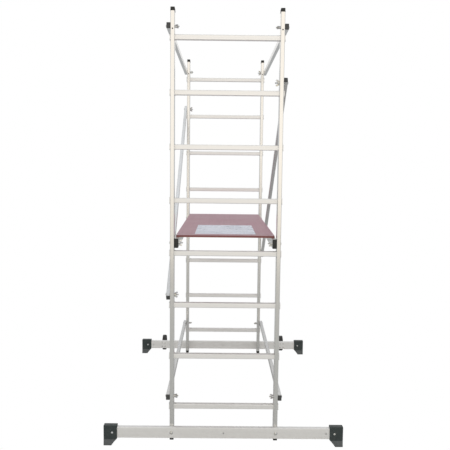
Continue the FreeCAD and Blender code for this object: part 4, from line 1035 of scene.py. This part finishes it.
def cut_out(made, tool):
    """The first mesh with the second one cut away from it."""
    parts = []
    for index, shape in enumerate((made, tool)):
        bmesh.ops.recalc_face_normals(shape, faces=shape.faces)
        mesh = bpy.data.meshes.new(f"cutting_{index}")
        shape.to_mesh(mesh)
        shape.free()
        part = bpy.data.objects.new(mesh.name, mesh)
        bpy.context.scene.collection.objects.link(part)
        parts.append(part)
    cutting = parts[0].modifiers.new("cut", "BOOLEAN")
    cutting.object = parts[1]
    cutting.operation = "DIFFERENCE"
    cutting.solver = "EXACT"
    result = bpy.data.meshes.new_from_object(parts[0].evaluated_get(bpy.context.evaluated_depsgraph_get()))
    for part in parts:
        bpy.data.objects.remove(part)
    return result


# Tyres -------------------------------------------------------------------------------------------

SIPES = 36
SIPE_STEPS = 8
SIPE_SHARE = 0.2
SIPE_DEPTH = 1.1
TREAD_GROOVES = (0, 6)
GROOVE_DEPTH = 1.5
SHOULDER = 6
SHOULDER_STEPS = 6
SEAT_DEPTH = 17.9


def sipe(out, deep):
    """A radius with a narrow cross groove at every sipe round the tyre."""
    def radius(turn):
        share = (turn / FULL_TURN * SIPES) % 1
        return out - (deep if share < SIPE_SHARE else 0)
    return radius


def make_tyre(side):
    """Ribbed tyre: grooves round its tread, sipes over its shoulders and two rings on each wall."""
    low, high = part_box(f"{side}_tyre")
    half = (high.x - low.x) / 2 / MM
    outer = (high.z - low.z) / 2 / MM
    tread = []
    for groove in TREAD_GROOVES:
        tread += [(groove - 1.15, outer), (groove - 0.9, outer - 0.25),
                  (groove - 0.7, outer - GROOVE_DEPTH), (groove + 0.7, outer - GROOVE_DEPTH),
                  (groove + 0.9, outer - 0.25), (groove + 1.15, outer)]
    right = tread[3:] + [(8.6, outer), (9, sipe(outer, SIPE_DEPTH))]
    for step in range(1, SHOULDER_STEPS + 1):
        lean = QUARTER * step / SHOULDER_STEPS
        right.append((half - SHOULDER + SHOULDER * math.sin(lean),
                      sipe(outer - SHOULDER + SHOULDER * math.cos(lean), SIPE_DEPTH - 0.18 * step)))
    right += [(half, outer - 7.5), (half - 0.5, outer - 7.9), (half - 0.5, outer - 9), (half, outer - 9.4),
              (half, outer - 10.4), (half - 0.5, outer - 10.8), (half - 1, outer - 13.5),
              (half - 3, outer - 16.5), (half - SHOULDER, outer - SEAT_DEPTH), (0, outer - SEAT_DEPTH)]
    left = [(-along, out) for along, out in reversed(right[:-1])]
    made = bmesh.new()
    turned(made, right + left, SIPES * SIPE_STEPS, Matrix.Translation((low + high) / 2), joined=True)
    new_piece(f"{side}_tyre_ribbed", made, "tyre", f"{side}_wheel", [f"{side}_tyre"])


# The whole tower -----------------------------------------------------------------------------------

make_camera()
make_studio()
FINISHES = make_finishes()
dress_nodes()
make_bolts()
make_rivets()
make_hex_nuts()
make_deck_screws()
make_wing_nuts()
make_stile_caps()
make_deck_rail_caps()
make_bracing_caps()
for end in ENDS:
    for side in SIDES:
        make_foot(f"{end}_{side}_foot")
for side in SIDES:
    make_tyre(side)
